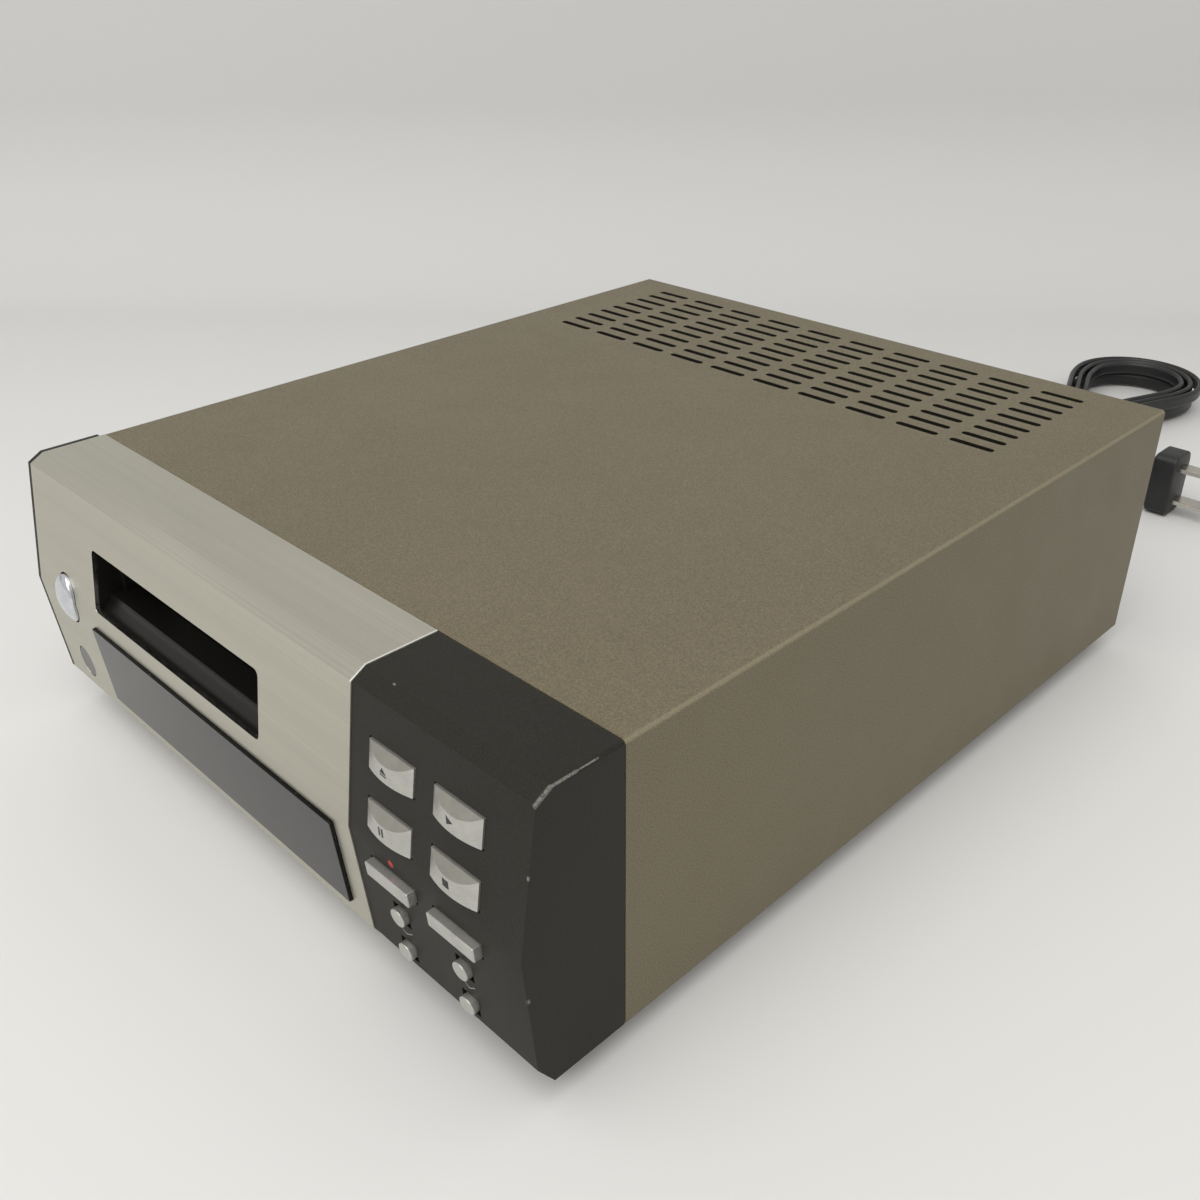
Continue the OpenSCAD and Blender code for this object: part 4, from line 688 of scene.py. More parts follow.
def grid_faces(rows: int, columns: int, wrap_rows: bool, wrap_columns: bool) -> np.ndarray:
    """Quads between neighbouring points of a grid whose points are numbered row by row.

    Args:
        rows: Number of rows.
        columns: Points in a row.
        wrap_rows: True where the last row meets the first.
        wrap_columns: True where a row's last point meets its first.

    Returns:
        An array of four point numbers for each quad.
    """
    row, column = np.meshgrid(
        np.arange(rows if wrap_rows else rows - 1),
        np.arange(columns if wrap_columns else columns - 1),
        indexing="ij",
    )
    below, beside = (row + 1) % rows, (column + 1) % columns
    corners = (
        row * columns + column,
        row * columns + beside,
        below * columns + beside,
        below * columns + column,
    )
    return np.stack(corners, axis=-1).reshape(-1, 4)


def rim_numbers(rows: int, columns: int) -> np.ndarray:
    """Numbers of a grid's outer points, once round, from the first point along the first row."""
    count = rows * columns
    last = count - columns
    return np.concatenate(
        (
            np.arange(columns),
            np.arange(2 * columns - 1, count, columns),
            np.arange(count - 2, last - 1, -1),
            np.arange(last - columns, 0, -columns),
        )
    )


def placed(name: str, data: bpy.types.ID) -> bpy.types.Object:
    """Makes an object of a mesh, a lamp or a camera and puts it into the scene."""
    thing = bpy.data.objects.new(name, data)
    bpy.context.scene.collection.objects.link(thing)
    return thing


def new_piece(
    name: str, points: np.ndarray, faces: list, finish: Finish, body: str, smooth_deg: float = 40
) -> bpy.types.Object:
    """Makes a mesh object at the origin, gives it its finish and lets it ride on a body.

    Args:
        name: The piece's name.
        points: Its points, in metres in the row frame.
        faces: Lists of point numbers.
        finish: Its finish.
        body: The body that it rides on.
        smooth_deg: Edges that bend less than this look smooth.

    Returns:
        The object.
    """
    mesh = bpy.data.meshes.new(name)
    mesh.from_pydata(np.asarray(points, float).reshape(-1, 3).tolist(), [], faces)
    mesh.update()
    face_out(mesh)
    mesh.shade_smooth()
    mesh.set_sharp_from_angle(angle=math.radians(smooth_deg))
    mesh.materials.append(finish.material())
    piece = placed(name, mesh)
    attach(piece, body)
    LOG.info("piece %s: %d points, %d faces, on %s", name, len(mesh.vertices), len(mesh.polygons), body)
    return piece


def face_values(mesh: bpy.types.Mesh, what: str) -> np.ndarray:
    """The middle ("center") or normal of each face, one row a face."""
    values = np.zeros(3 * len(mesh.polygons))
    mesh.polygons.foreach_get(what, values)
    return values.reshape(-1, 3)


def face_out(mesh: bpy.types.Mesh) -> None:
    """Turns every face of closed shells outwards."""
    work = bmesh.new()
    work.from_mesh(mesh)
    bmesh.ops.recalc_face_normals(work, faces=work.faces)
    work.to_mesh(mesh)
    work.free()


def closed_rings(rings: np.ndarray) -> tuple[np.ndarray, list]:
    """A closed shell through rings of points: quads between them, and a flat cap on each end ring.

    Args:
        rings: Array of rings by points by three.

    Returns:
        The points and the faces.
    """
    count, around = rings.shape[:2]
    faces = grid_faces(count, around, False, True).tolist()
    faces.append(list(range(around))[::-1])
    faces.append(list(range((count - 1) * around, count * around)))
    return rings.reshape(-1, 3), faces


def lathe(profile: np.ndarray, middle: Point, axis: str, around: int = 48) -> np.ndarray:
    """Rings of a turned shape: radius and distance along the axis, turned once round.

    Args:
        profile: Pairs of radius and distance along the axis, in metres.
        middle: Where the axis starts.
        axis: "y" or "z".
        around: Points in a ring.

    Returns:
        Array of rings by points by three.
    """
    turn = np.linspace(0, 2 * math.pi, around, endpoint=False)
    radius, along = profile[:, :1], profile[:, 1:]
    across, up = radius * np.cos(turn), radius * np.sin(turn)
    flat = np.broadcast_to(along, across.shape)
    order = (across, flat, -up) if axis == "y" else (across, up, flat)
    return np.stack(order, axis=-1) + np.array(middle, float)


def rounded_outline(half_w: float, half_h: float, radius: float, per_corner: int = 6) -> np.ndarray:
    """A rectangle with round corners: each corner is a quarter circle about its own middle.

    Args:
        half_w: Half its width.
        half_h: Half its height.
        radius: Corner radius.
        per_corner: Points in a corner.

    Returns:
        Points in two dimensions, anticlockwise.
    """
    radius = max(min(radius, half_w, half_h), 1e-6)
    corner = np.arange(4)
    angle = corner[:, None] * math.pi / 2 + np.linspace(0, math.pi / 2, per_corner)
    middle_x = np.array([1, -1, -1, 1]) * (half_w - radius)
    middle_y = np.array([1, 1, -1, -1]) * (half_h - radius)
    x = middle_x[:, None] + radius * np.cos(angle)
    y = middle_y[:, None] + radius * np.sin(angle)
    return np.stack((x, y), axis=-1).reshape(-1, 2)


def circle(points: int) -> np.ndarray:
    """Points of a circle of radius 1: cosine and sine of even angles."""
    angle = np.linspace(0, 2 * math.pi, points, endpoint=False)
    return np.column_stack((np.cos(angle), np.sin(angle)))


def upright(flat: np.ndarray, y: np.ndarray | float) -> np.ndarray:
    """Points in space from points (x, z), with one Y for all or one for each."""
    return np.column_stack((flat[:, 0], np.broadcast_to(y, len(flat)), flat[:, 1]))


def smooth_step(share: np.ndarray) -> np.ndarray:
    """An S-shaped rise from 0 to 1: the share's square times three less twice the share."""
    share = np.clip(share, 0, 1)
    return share * share * (3 - 2 * share)


def distances(line: np.ndarray) -> np.ndarray:
    """Way along a line from its start to each of its points: the steps between them, summed."""
    return np.concatenate(([0], np.cumsum(np.linalg.norm(np.diff(line, axis=0), axis=1))))


def smooth_path(points: np.ndarray, step: float) -> np.ndarray:
    """A curve through points: between two of them a cubic with their neighbours' slopes, spaced evenly.

    Args:
        points: The points that it passes.
        step: Distance between the results.

    Returns:
        Evenly spaced points.
    """
    ends = np.vstack((2 * points[0] - points[1], points, 2 * points[-1] - points[-2]))
    before, start, stop, after = ends[:-3], ends[1:-2], ends[2:-1], ends[3:]
    share = np.linspace(0, 1, 24, endpoint=False)[None, :, None]
    before, start, stop, after = (p[:, None, :] for p in (before, start, stop, after))
    cubic = 0.5 * (
        2 * start
        + (stop - before) * share
        + (2 * before - 5 * start + 4 * stop - after) * share**2
        + (3 * start - before - 3 * stop + after) * share**3
    )
    line = np.vstack((cubic.reshape(-1, 3), points[-1:]))
    run = distances(line)
    even = np.linspace(0, run[-1], max(2, round(run[-1] / step)))
    return np.stack([np.interp(even, run, line[:, k]) for k in range(3)], axis=1)


def round_edges(piece: bpy.types.Object, width: float, segments: int, least_deg: float) -> None:
    """Rounds a piece's sharp edges.

    Args:
        piece: The piece.
        width: Width of the rounding, in metres.
        segments: Faces across the rounding.
        least_deg: Edges that bend less than this stay as they are.
    """
    bevel = piece.modifiers.new("edges", "BEVEL")
    bevel.width = width
    bevel.segments = segments
    bevel.limit_method = "ANGLE"
    bevel.angle_limit = math.radians(least_deg)
    bevel.harden_normals = True


def softened(
    node: str, piece_name: str, finish: Finish, width: float, segments: int = 2
) -> bpy.types.Object:
    """Copies a CAD node, joins its triangles into whole faces and rounds its sharp edges a little.

    Args:
        node: The node that the copy replaces.
        piece_name: Name of the copy.
        finish: Its finish.
        width: Width of the rounding, in metres.
        segments: Faces across the rounding.

    Returns:
        The object, which rides on the node's body.
    """
    mesh = FRAME["nodes"][node].data.copy()
    work = bmesh.new()
    work.from_mesh(mesh)
    bmesh.ops.remove_doubles(work, verts=work.verts, dist=1e-6)
    bmesh.ops.dissolve_limit(
        work, angle_limit=math.radians(0.4), verts=work.verts, edges=work.edges, delimit=set()
    )
    work.to_mesh(mesh)
    work.free()
    mesh.materials.clear()
    mesh.materials.append(finish.material())
    mesh.shade_smooth()
    mesh.set_sharp_from_angle(angle=math.radians(25))
    mesh.name = piece_name
    piece = placed(piece_name, mesh)
    round_edges(piece, width, segments, 30)
    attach(piece, body_of(node))
    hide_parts(node)
    LOG.info("softened copy %s of %s: %d faces", piece_name, node, len(mesh.polygons))
    return piece


def body_of(node: str) -> str:
    """Name of the body that carries a CAD node."""
    bodies = FRAME["record"]["behaviour"]["bodies"]
    return next(body for body, nodes in bodies.items() if node in nodes)


# --------------------------------------------------------------------------------------------------
# Camera, floor and light
# --------------------------------------------------------------------------------------------------


@dataclass
class Studio:
    """Camera at the photograph's place, a pale floor that bends up into a backdrop, and soft light."""

    origin: Vector
    place_mm: Point = (217.38, -120.75, 195.27)
    heading_deg: float = 45.636
    above_deg: float = 29.964
    tilt_deg: float = -0.602
    lens_mm: float = 36.317
    sensor_mm: float = 36
    nearest: float = 0.01
    # The paper's grey on the wall is darker than on the floor: painted shade for the lesser light that
    # falls on the wall.
    floor_grey: Colour = (224, 224, 222)
    wall_shade_grey: Colour = (203, 203, 202)
    paper_roughness: float = 0.75
    floor_depths: Point = (-2.2, -0.6, 0.0)
    floor_half_width: float = 3.2
    wall_turn_deg: float = 3
    wall_reach: float = 0.36
    wall_bend: float = 0.1
    wall_height: float = 0.5
    lamp_place: Point = (0.3, -0.85, 1.35)
    lamp_target: Point = (0.02, -0.2, 0)
    lamp_size: float = 1.6
    lamp_watts: float = 17.0
    lamp_tint: Colour = (255, 253, 250)
    room_light: tuple[float, float, float, float] = (1.0, 0.995, 0.985, 1)
    room_strength: float = 0.66

    def camera(self) -> None:
        """Places the camera: it looks down at the deck's right front corner, a little tilted."""
        heading, above, tilt = (math.radians(a) for a in (self.heading_deg, self.above_deg, self.tilt_deg))
        level_share = math.cos(above)
        back = Vector((math.sin(heading) * level_share, -math.cos(heading) * level_share, math.sin(above)))
        level = Vector((0, 0, 1)).cross(back).normalized()
        upward = back.cross(level)
        right = math.cos(tilt) * level + math.sin(tilt) * upward
        up = math.cos(tilt) * upward - math.sin(tilt) * level
        turn = Matrix((right, up, back)).transposed()
        camera = bpy.data.cameras.new("camera")
        camera.lens = self.lens_mm
        camera.sensor_width = self.sensor_mm
        camera.clip_start = self.nearest
        eye = placed("camera", camera)
        eye.matrix_world = Matrix.Translation(self.origin + Vector(self.place_mm) * MM) @ turn.to_4x4()
        bpy.context.scene.camera = eye

    def floor(self) -> None:
        """Floor and wall: a profile of floor, quarter circle and wall, carried along a line."""
        reach, bend = self.wall_reach, self.wall_bend
        arc = np.linspace(0, math.pi / 2, 24)
        depth = np.concatenate((self.floor_depths, reach + bend * np.sin(arc), [reach + bend]))
        height = np.concatenate(([0, 0, 0], bend * (1 - np.cos(arc)), [self.wall_height]))
        across = np.array([-self.floor_half_width, self.floor_half_width])
        heading = math.radians(self.heading_deg - self.wall_turn_deg)
        away = np.array([-math.sin(heading), math.cos(heading)])
        side = np.array([away[1], -away[0]])
        plan = depth[:, None, None] * away + across[None, :, None] * side
        rise = np.broadcast_to(height[:, None, None], plan.shape[:2] + (1,))
        points = np.concatenate((plan, rise), axis=-1)
        mesh = bpy.data.meshes.new("floor")
        faces = grid_faces(len(depth), 2, False, False)
        mesh.from_pydata(points.reshape(-1, 3).tolist(), [], faces.tolist())
        mesh.shade_smooth()
        shade = Shade("floor_paper")
        direction = (float(away[0]), float(away[1]), 0)
        behind = shade.vector("DOT_PRODUCT", shade.place, direction).outputs["Value"]
        # Painted shade: the paper darkens from the floor's grey to the wall's towards the back.
        shade.colour(shade.blend(shade.ramp(behind, 0.0, reach + bend), self.floor_grey, self.wall_shade_grey))
        shade.plain(Roughness=self.paper_roughness)
        shade.one_sided()
        mesh.materials.append(shade.material)
        placed("floor", mesh)

    def lamp(self) -> None:
        """A wide square softbox in front of the deck and above the camera, which looks at its target."""
        light = bpy.data.lights.new("ceiling", "AREA")
        light.size = self.lamp_size
        light.energy = self.lamp_watts
        light.color = linear(self.lamp_tint)[:3]
        direction = Vector(self.lamp_target) - Vector(self.lamp_place)
        turn = direction.to_track_quat("-Z", "Y").to_matrix().to_4x4()
        placed("ceiling", light).matrix_world = Matrix.Translation(self.lamp_place) @ turn

    def room(self) -> None:
        """Even light from all round, and colours shown as they are."""
        world = bpy.data.worlds.new("room")
        world.use_nodes = True
        tree = world.node_tree
        tree.nodes.clear()
        output = tree.nodes.new("ShaderNodeOutputWorld")
        room = tree.nodes.new("ShaderNodeBackground")
        room.inputs["Color"].default_value = self.room_light
        room.inputs["Strength"].default_value = self.room_strength
        tree.links.new(room.outputs[0], output.inputs[0])
        bpy.context.scene.world = world
        bpy.context.scene.view_settings.view_transform = "Standard"

    def build(self) -> None:
        """Makes camera, floor and light."""
        self.camera()
        self.floor()
        self.lamp()
        self.room()
        LOG.info("studio ready")


# --------------------------------------------------------------------------------------------------
# Mains cord
# --------------------------------------------------------------------------------------------------


@dataclass
class MainsLead:
    """The flat twin cord with its strain relief, hank, tie and plug."""

    width: float = 5.6 * MM
    thickness: float = 2.8 * MM
    cord_points: int = 20
    cord_fullness: float = 0.85
    groove_depth: float = 0.30
    groove_half: float = 0.55 * MM
    roll_start: float = 12 * MM
    roll_run: float = 62 * MM
    path_step: float = 2 * MM
    exit_x: float = 62 * MM
    exit_z: float = 20 * MM
    relief_length: float = 24 * MM
    relief_radius: float = 5.4 * MM
    relief_fall: float = 1.9 * MM
    relief_collar: float = 3 * MM
    rib_height: float = 0.35 * MM
    rib_pitch: float = 2.6 * MM
    hank_x: float = 11 * MM
    hank_near_y: float = 235 * MM
    hank_far_y: float = 327 * MM
    hank_low_z: float = 3.7 * MM
    hank_rise: float = 6.2 * MM
    hank_r: float = 26 * MM
    hank_step: float = 3.8 * MM
    hank_waist: float = 12 * MM
    hank_turns: float = 4.625
    hank_reverse: float = 2.125
    turn_points: int = 96
    climb_rate: float = 16
    tie_width: float = 6 * MM
    tie_thickness: float = 0.7 * MM
    tie_edge: float = 0.3 * MM
    tie_corner: float = 1.6 * MM
    plug: Point = (56 * MM, 224 * MM, 12 * MM)
    plug_neck: Pair = (4.2 * MM, 5.2 * MM)
    plug_swell: Pair = (2.7 * MM, 6.5 * MM)
    plug_edge: float = 0.9 * MM
    plug_corner: float = 3.4 * MM
    grip_height: float = 0.35 * MM
    exit_route_mm: tuple[Point, ...] = (
        (62, 148, 20),
        (62, 154, 19.2),
        (60, 163, 16.4),
        (55, 171, 12.3),
        (47, 177, 8.2),
        (38, 180, 5.2),
        (28, 181, 3.8),
        (18, 182, 3.4),
        (9, 184, 3.2),
        (1, 188, 3.2),
        (-6, 194, 3.2),
        (-11, 202, 3.3),
        (-14, 211, 3.5),
        (-15, 220, 3.7),
        (-15, 228, 3.7),
    )
    plug_route_mm: tuple[Point, ...] = (
        (27.2, 274, 9.9),
        (29.8, 266, 10),
        (33.2, 257, 10.2),
        (37, 248, 10.6),
        (40.2, 239.6, 11.2),
        (43.6, 231.8, 11.8),
        (47.6, 226.8, 12),
        (51.6, 224.4, 12),
    )
    pieces: list[bpy.types.Object] = field(default_factory=list)

    def hank(self) -> np.ndarray:
        """The hank's centreline: each turn has a run, a far half circle, a run back and a near half circle.

        The radius shrinks steadily to the turn where it reverses and grows again, the line climbs a layer
        there, and both runs are drawn in at the waist by a cosine.

        Returns:
            Points in metres.
        """
        turn = np.linspace(0, self.hank_turns, int(self.hank_turns * self.turn_points) + 1)
        part = (turn % 1) * 4
        inward = np.where(turn < self.hank_reverse, turn, 2 * self.hank_reverse - turn)
        radius = self.hank_r - self.hank_step * inward
        climb = np.clip((turn - self.hank_reverse) * self.climb_rate + 1, 0, 2)
        height = self.hank_low_z + self.hank_rise * (1 - np.cos(climb * math.pi / 2)) / 2
        run = self.hank_far_y - self.hank_near_y
        up_y = self.hank_near_y + part * run
        down_y = self.hank_far_y - (part - 2) * run
        far, near = math.pi * (part - 1), math.pi * (part - 3)
        stage = np.minimum(part.astype(int), 3)
        y = np.choose(
            stage,
            (
                up_y,
                self.hank_far_y + radius * np.sin(far),
                down_y,
                self.hank_near_y - radius * np.sin(near),
            ),
        )
        draw = self.hank_waist * (1 - np.cos(2 * math.pi * (y - self.hank_near_y) / run)) / 2
        x = np.choose(
            stage,
            (
                self.hank_x - radius + draw,
                self.hank_x - radius * np.cos(far),
                self.hank_x + radius - draw,
                self.hank_x + radius * np.cos(near),
            ),
        )
        return np.stack((x, y, height), axis=1)

    def route(self) -> np.ndarray:
        """The whole centreline, evenly spaced, from the strain relief through the hank to the plug."""
        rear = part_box("rear_panel")[1].y
        start = np.array([[self.exit_x, rear + self.relief_length, self.exit_z]])
        out = np.array(self.exit_route_mm) * MM
        end = np.vstack((np.array(self.plug_route_mm) * MM, np.array([self.plug])))
        return smooth_path(np.vstack((start, out, self.hank()[::3], end)), self.path_step)

    def cord(self) -> bpy.types.Object:
        """A twin cord: two round cores side by side with a groove between, carried along the route.

        The cross-section is wide * cos(t) by thin * sin(t) with a dip of the groove's depth where cos(t) is
        near zero. Its wide side starts level and turns upright as the cord comes down.

        Returns:
            The cord.
        """
        line = self.route()
        tangent = np.gradient(line, axis=0)
        tangent /= np.linalg.norm(tangent, axis=1)[:, None]
        side = np.cross(tangent, [0, 0, 1])
        side /= np.linalg.norm(side, axis=1)[:, None]
        up = np.cross(side, tangent)
        run = distances(line)
        roll = (math.pi / 2) * smooth_step((run - self.roll_start) / self.roll_run)
        wide = np.cos(roll)[:, None] * side + np.sin(roll)[:, None] * up
        thin = np.cos(roll)[:, None] * up - np.sin(roll)[:, None] * side
        level, rise = circle(self.cord_points).T
        across = np.sign(level) * np.abs(level) ** self.cord_fullness * self.width / 2
        groove = 1 - self.groove_depth * np.exp(-((across / self.groove_half) ** 2))
        high = rise * self.thickness / 2 * groove
        sideways = across[None, :, None] * wide[:, None, :]
        rings = line[:, None, :] + sideways + high[None, :, None] * thin[:, None, :]
        points, faces = closed_rings(rings)
        cord = new_piece("flat_cord", points, faces, VINYL, "deck", 60)
        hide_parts("mains_cord", "cord_hank")
        return cord

    def relief(self) -> None:
        """The strain relief: a collar, then a taper whose radius falls with a row of shallow ribs."""
        low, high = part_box("cord_bushing")
        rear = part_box("rear_panel")[1].y
        taper_length = self.relief_length - self.relief_collar
        along = np.linspace(0, taper_length, 96)
        ribs = self.rib_height * np.clip(np.sin(along / self.rib_pitch * 2 * math.pi) * 2, -1, 1)
        fade_in = np.clip((along - 2 * MM) / (3 * MM), 0, 1)
        fade_out = np.clip((taper_length - 2 * MM - along) / MM, 0, 1)
        taper = self.relief_radius - self.relief_fall * along / along[-1] + ribs * fade_in * fade_out
        collar = np.array([(4.8, -3), (4.9, 0), (6.9, 0), (7.2, 0.4), (7.2, 2.5), (6.8, 3), (5.5, 3)]) * MM
        profile = np.vstack((collar, np.column_stack((taper, along + self.relief_collar))))
        middle = ((low.x + high.x) / 2, rear, (low.z + high.z) / 2)
        rings = lathe(profile, middle, "y", 40)
        piece = new_piece("strain_relief", *closed_rings(rings), VINYL, "deck", 35)
        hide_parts("cord_bushing")
        self.pieces.append(piece)

    def tie(self) -> None:
        """The tie: a band whose section is a thin round-edged strip, carried round the hank's waist."""
        low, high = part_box("cord_tie")
        middle = (low + high) / 2
        half_t = self.tie_thickness / 2
        core_w, core_h = (high.x - low.x) / 2 - half_t, (high.z - low.z) / 2 - half_t
        strip = rounded_outline(half_t, self.tie_width / 2, self.tie_edge, 4)
        band = np.stack(
            [rounded_outline(core_w + out, core_h + out, self.tie_corner + out, 8) for out in strip[:, 0]]
        )
        along = np.broadcast_to(strip[:, 1][:, None], band.shape[:2])
        points = np.stack((middle.x + band[..., 0], middle.y + along, middle.z + band[..., 1]), axis=-1)
        faces = grid_faces(len(strip), band.shape[1], True, True).tolist()
        piece = new_piece("hank_band", points, faces, TIE, "deck", 50)
        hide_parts("cord_tie")
        self.pieces.append(piece)

    def rounded_end(self, share: np.ndarray) -> np.ndarray:
        """How far a quarter circle draws the plug's surface in, at a share of 0 to 1 of its depth."""
        return self.plug_edge * (1 - np.sqrt(1 - (1 - np.clip(share, 0, 1)) ** 2))

    def plug_body(self) -> None:
        """The plug: rounded sections along X whose half sizes follow a smooth step from neck to body."""
        low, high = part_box("plug_body")
        middle = (low + high) / 2
        share = np.linspace(0, 1, 60)
        along = low.x + share * (high.x - low.x)
        step = smooth_step((share - 0.34) / 0.24)[:, None]
        grip = self.grip_height * (np.sin(share * 2 * math.pi * 7) > 0) * (share < 0.36)
        shrink = self.rounded_end((1 - share) / 0.05) + self.rounded_end(share / 0.05) - grip
        halves = np.array(self.plug_neck) + np.array(self.plug_swell) * step - shrink[:, None]
        rings = []
        for x, (half_y, half_z) in zip(along, halves):
            outline = rounded_outline(half_y, half_z, min(self.plug_corner, half_y) * 0.9, 8)
            outline += (middle.y, middle.z)
            rings.append(np.column_stack((np.full(len(outline), x), outline)))
        piece = new_piece("plug_moulding", *closed_rings(np.stack(rings)), PLUG, "deck", 35)
        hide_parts("plug_body")
        self.pieces.append(piece)

    def build(self) -> None:
        """Makes the cord's pieces first, then the cord."""
        self.relief()
        self.tie()
        self.plug_body()
        self.pieces.append(softened("plug_blades", "plug_prongs", NICKEL, 0.25 * MM))
        self.cord()


# --------------------------------------------------------------------------------------------------
# Cabinet
# --------------------------------------------------------------------------------------------------


@dataclass
class Cabinet:
    """The steel cover, rear panel, tray and feet."""

    edge: float = 0.25 * MM
    inner_edge: float = 0.15 * MM
    border: float = 5 * MM
    foot_radius: float = 10 * MM
    foot_points: int = 48
    tread_inner: float = 4.6 * MM
    tread_outer: float = 8.9 * MM
    tread_pitch: float = 1.1 * MM
    tread_depth: float = 0.35 * MM

    def cover(self) -> None:
        """The cover keeps its own folds; its cut edges are rounded, and the walls of its slots get a dark
        colour that paints the shade inside them.
        """
        piece = softened("top_cover", "steel_cover", BRONZE, self.edge)
        piece.data.materials.append(SLOT_SHADE.material())
        low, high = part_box("top_cover")
        x, y, z = face_values(piece.data, "center").T
        standing = np.abs(face_values(piece.data, "normal")[:, 2]) < 0.3
        inside = (np.abs(x) < high.x - self.border) & (y > low.y + self.border) & (y < high.y - self.border)
        # Standing faces of the slots near the top: their dark colour is painted shade inside the slots.
        wall = standing & inside & (z > high.z - self.border)
        piece.data.polygons.foreach_set("material_index", wall.astype(np.int32))

    def feet(self) -> None:
        """Four turned rubber feet with a hollow underside and rings on their tread, as one piece.

        The profile runs up the outside, along the tread, whose rings are a cosine, and into the hollow.
        """
        tread = np.linspace(self.tread_outer, self.tread_inner, 40)
        turn = (tread - self.tread_inner) / self.tread_pitch * 2 * math.pi
        wave = self.tread_depth * 0.5 * (1 - np.cos(turn))
        outer = [(1.8, 7.4), (8.5, 7.4), (8.5, 6.2), (9.4, 6.1), (9.9, 5.6), (9.9, 1.2), (9.6, 0.4)]
        hollow = [(4.2, 0.2), (3.7, 0.6), (3.6, 4.4), (1.8, 4.9)]
        profile = np.vstack((np.array(outer) * MM, np.column_stack((tread, wave)), np.array(hollow) * MM))
        low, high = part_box("feet")
        quads = grid_faces(len(profile), self.foot_points, True, True)
        points, faces = [], []
        for x in (low.x + self.foot_radius, high.x - self.foot_radius):
            for y in (low.y + self.foot_radius, high.y - self.foot_radius):
                faces.extend((quads + len(points) * len(profile) * self.foot_points).tolist())
                points.append(lathe(profile, (x, y, low.z), "z", self.foot_points).reshape(-1, 3))
        piece = new_piece("rubber_feet", np.vstack(points), faces, RUBBER, "deck", 30)
        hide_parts("feet")

    def build(self) -> None:
        """Makes the cabinet's pieces."""
        self.cover()
        softened("rear_panel", "rear_wall", REAR_PAINT, self.inner_edge)
        softened("chassis_tray", "steel_tray", ZINC, self.inner_edge)
        self.feet()


# --------------------------------------------------------------------------------------------------
# Front panel
# --------------------------------------------------------------------------------------------------


@dataclass
class PanelShape:
    """Where the front panel's outer face lies, in the deck frame."""

    origin: Vector
    crease_out: float = 26 * MM
    crease_z: float = 36 * MM
    brow_out: float = 21.1 * MM
    brow_z: float = 68.2 * MM
    toe_out: float = 23.4 * MM
    toe_z: float = 6.2 * MM

    @property
    def upper_slope(self) -> float:
        """How much the upper face falls back for each metre of height."""
        return (self.crease_out - self.brow_out) / (self.brow_z - self.crease_z)

    @property
    def lower_slope(self) -> float:
        """How much the lower face falls back for each metre of depth below the crease."""
        return (self.crease_out - self.toe_out) / (self.crease_z - self.toe_z)

    def face_y(self, z: np.ndarray | float) -> np.ndarray:
        """Y of the dark panel's face at a height, in the deck frame."""
        z = np.asarray(z, float)
        upper = (z - self.crease_z) * self.upper_slope
        lower = (self.crease_z - z) * self.lower_slope
        return -self.crease_out + np.where(z > self.crease_z, upper, lower)

    def stretch(self, z: float) -> float:
        """Length along Y of one metre square to the face, at a height."""
        slope = self.upper_slope if z > self.crease_z else self.lower_slope
        return math.sqrt(1 + slope * slope)

    def row(self, points: np.ndarray) -> np.ndarray:
        """Moves points from the deck frame to the row frame."""
        return points + np.array(self.origin)


class Mark(Enum):
    """Generic symbols on the buttons, each a list of four-sided patches in half sizes of the mark."""

    EJECT = (
        ((-1, -0.35), (1, -0.35), (0.02, 1), (-0.02, 1)),
        ((-1, -0.95), (1, -0.95), (1, -0.6), (-1, -0.6)),
    )
    PAUSE = (((-0.75, -1), (-0.2, -1), (-0.2, 1), (-0.75, 1)), ((0.2, -1), (0.75, -1), (0.75, 1), (0.2, 1)))
    PLAY = (((-0.8, -1), (1, -0.02), (1, 0.02), (-0.8, 1)),)
    STOP = (((-0.9, -0.9), (0.9, -0.9), (0.9, 0.9), (-0.9, 0.9)),)


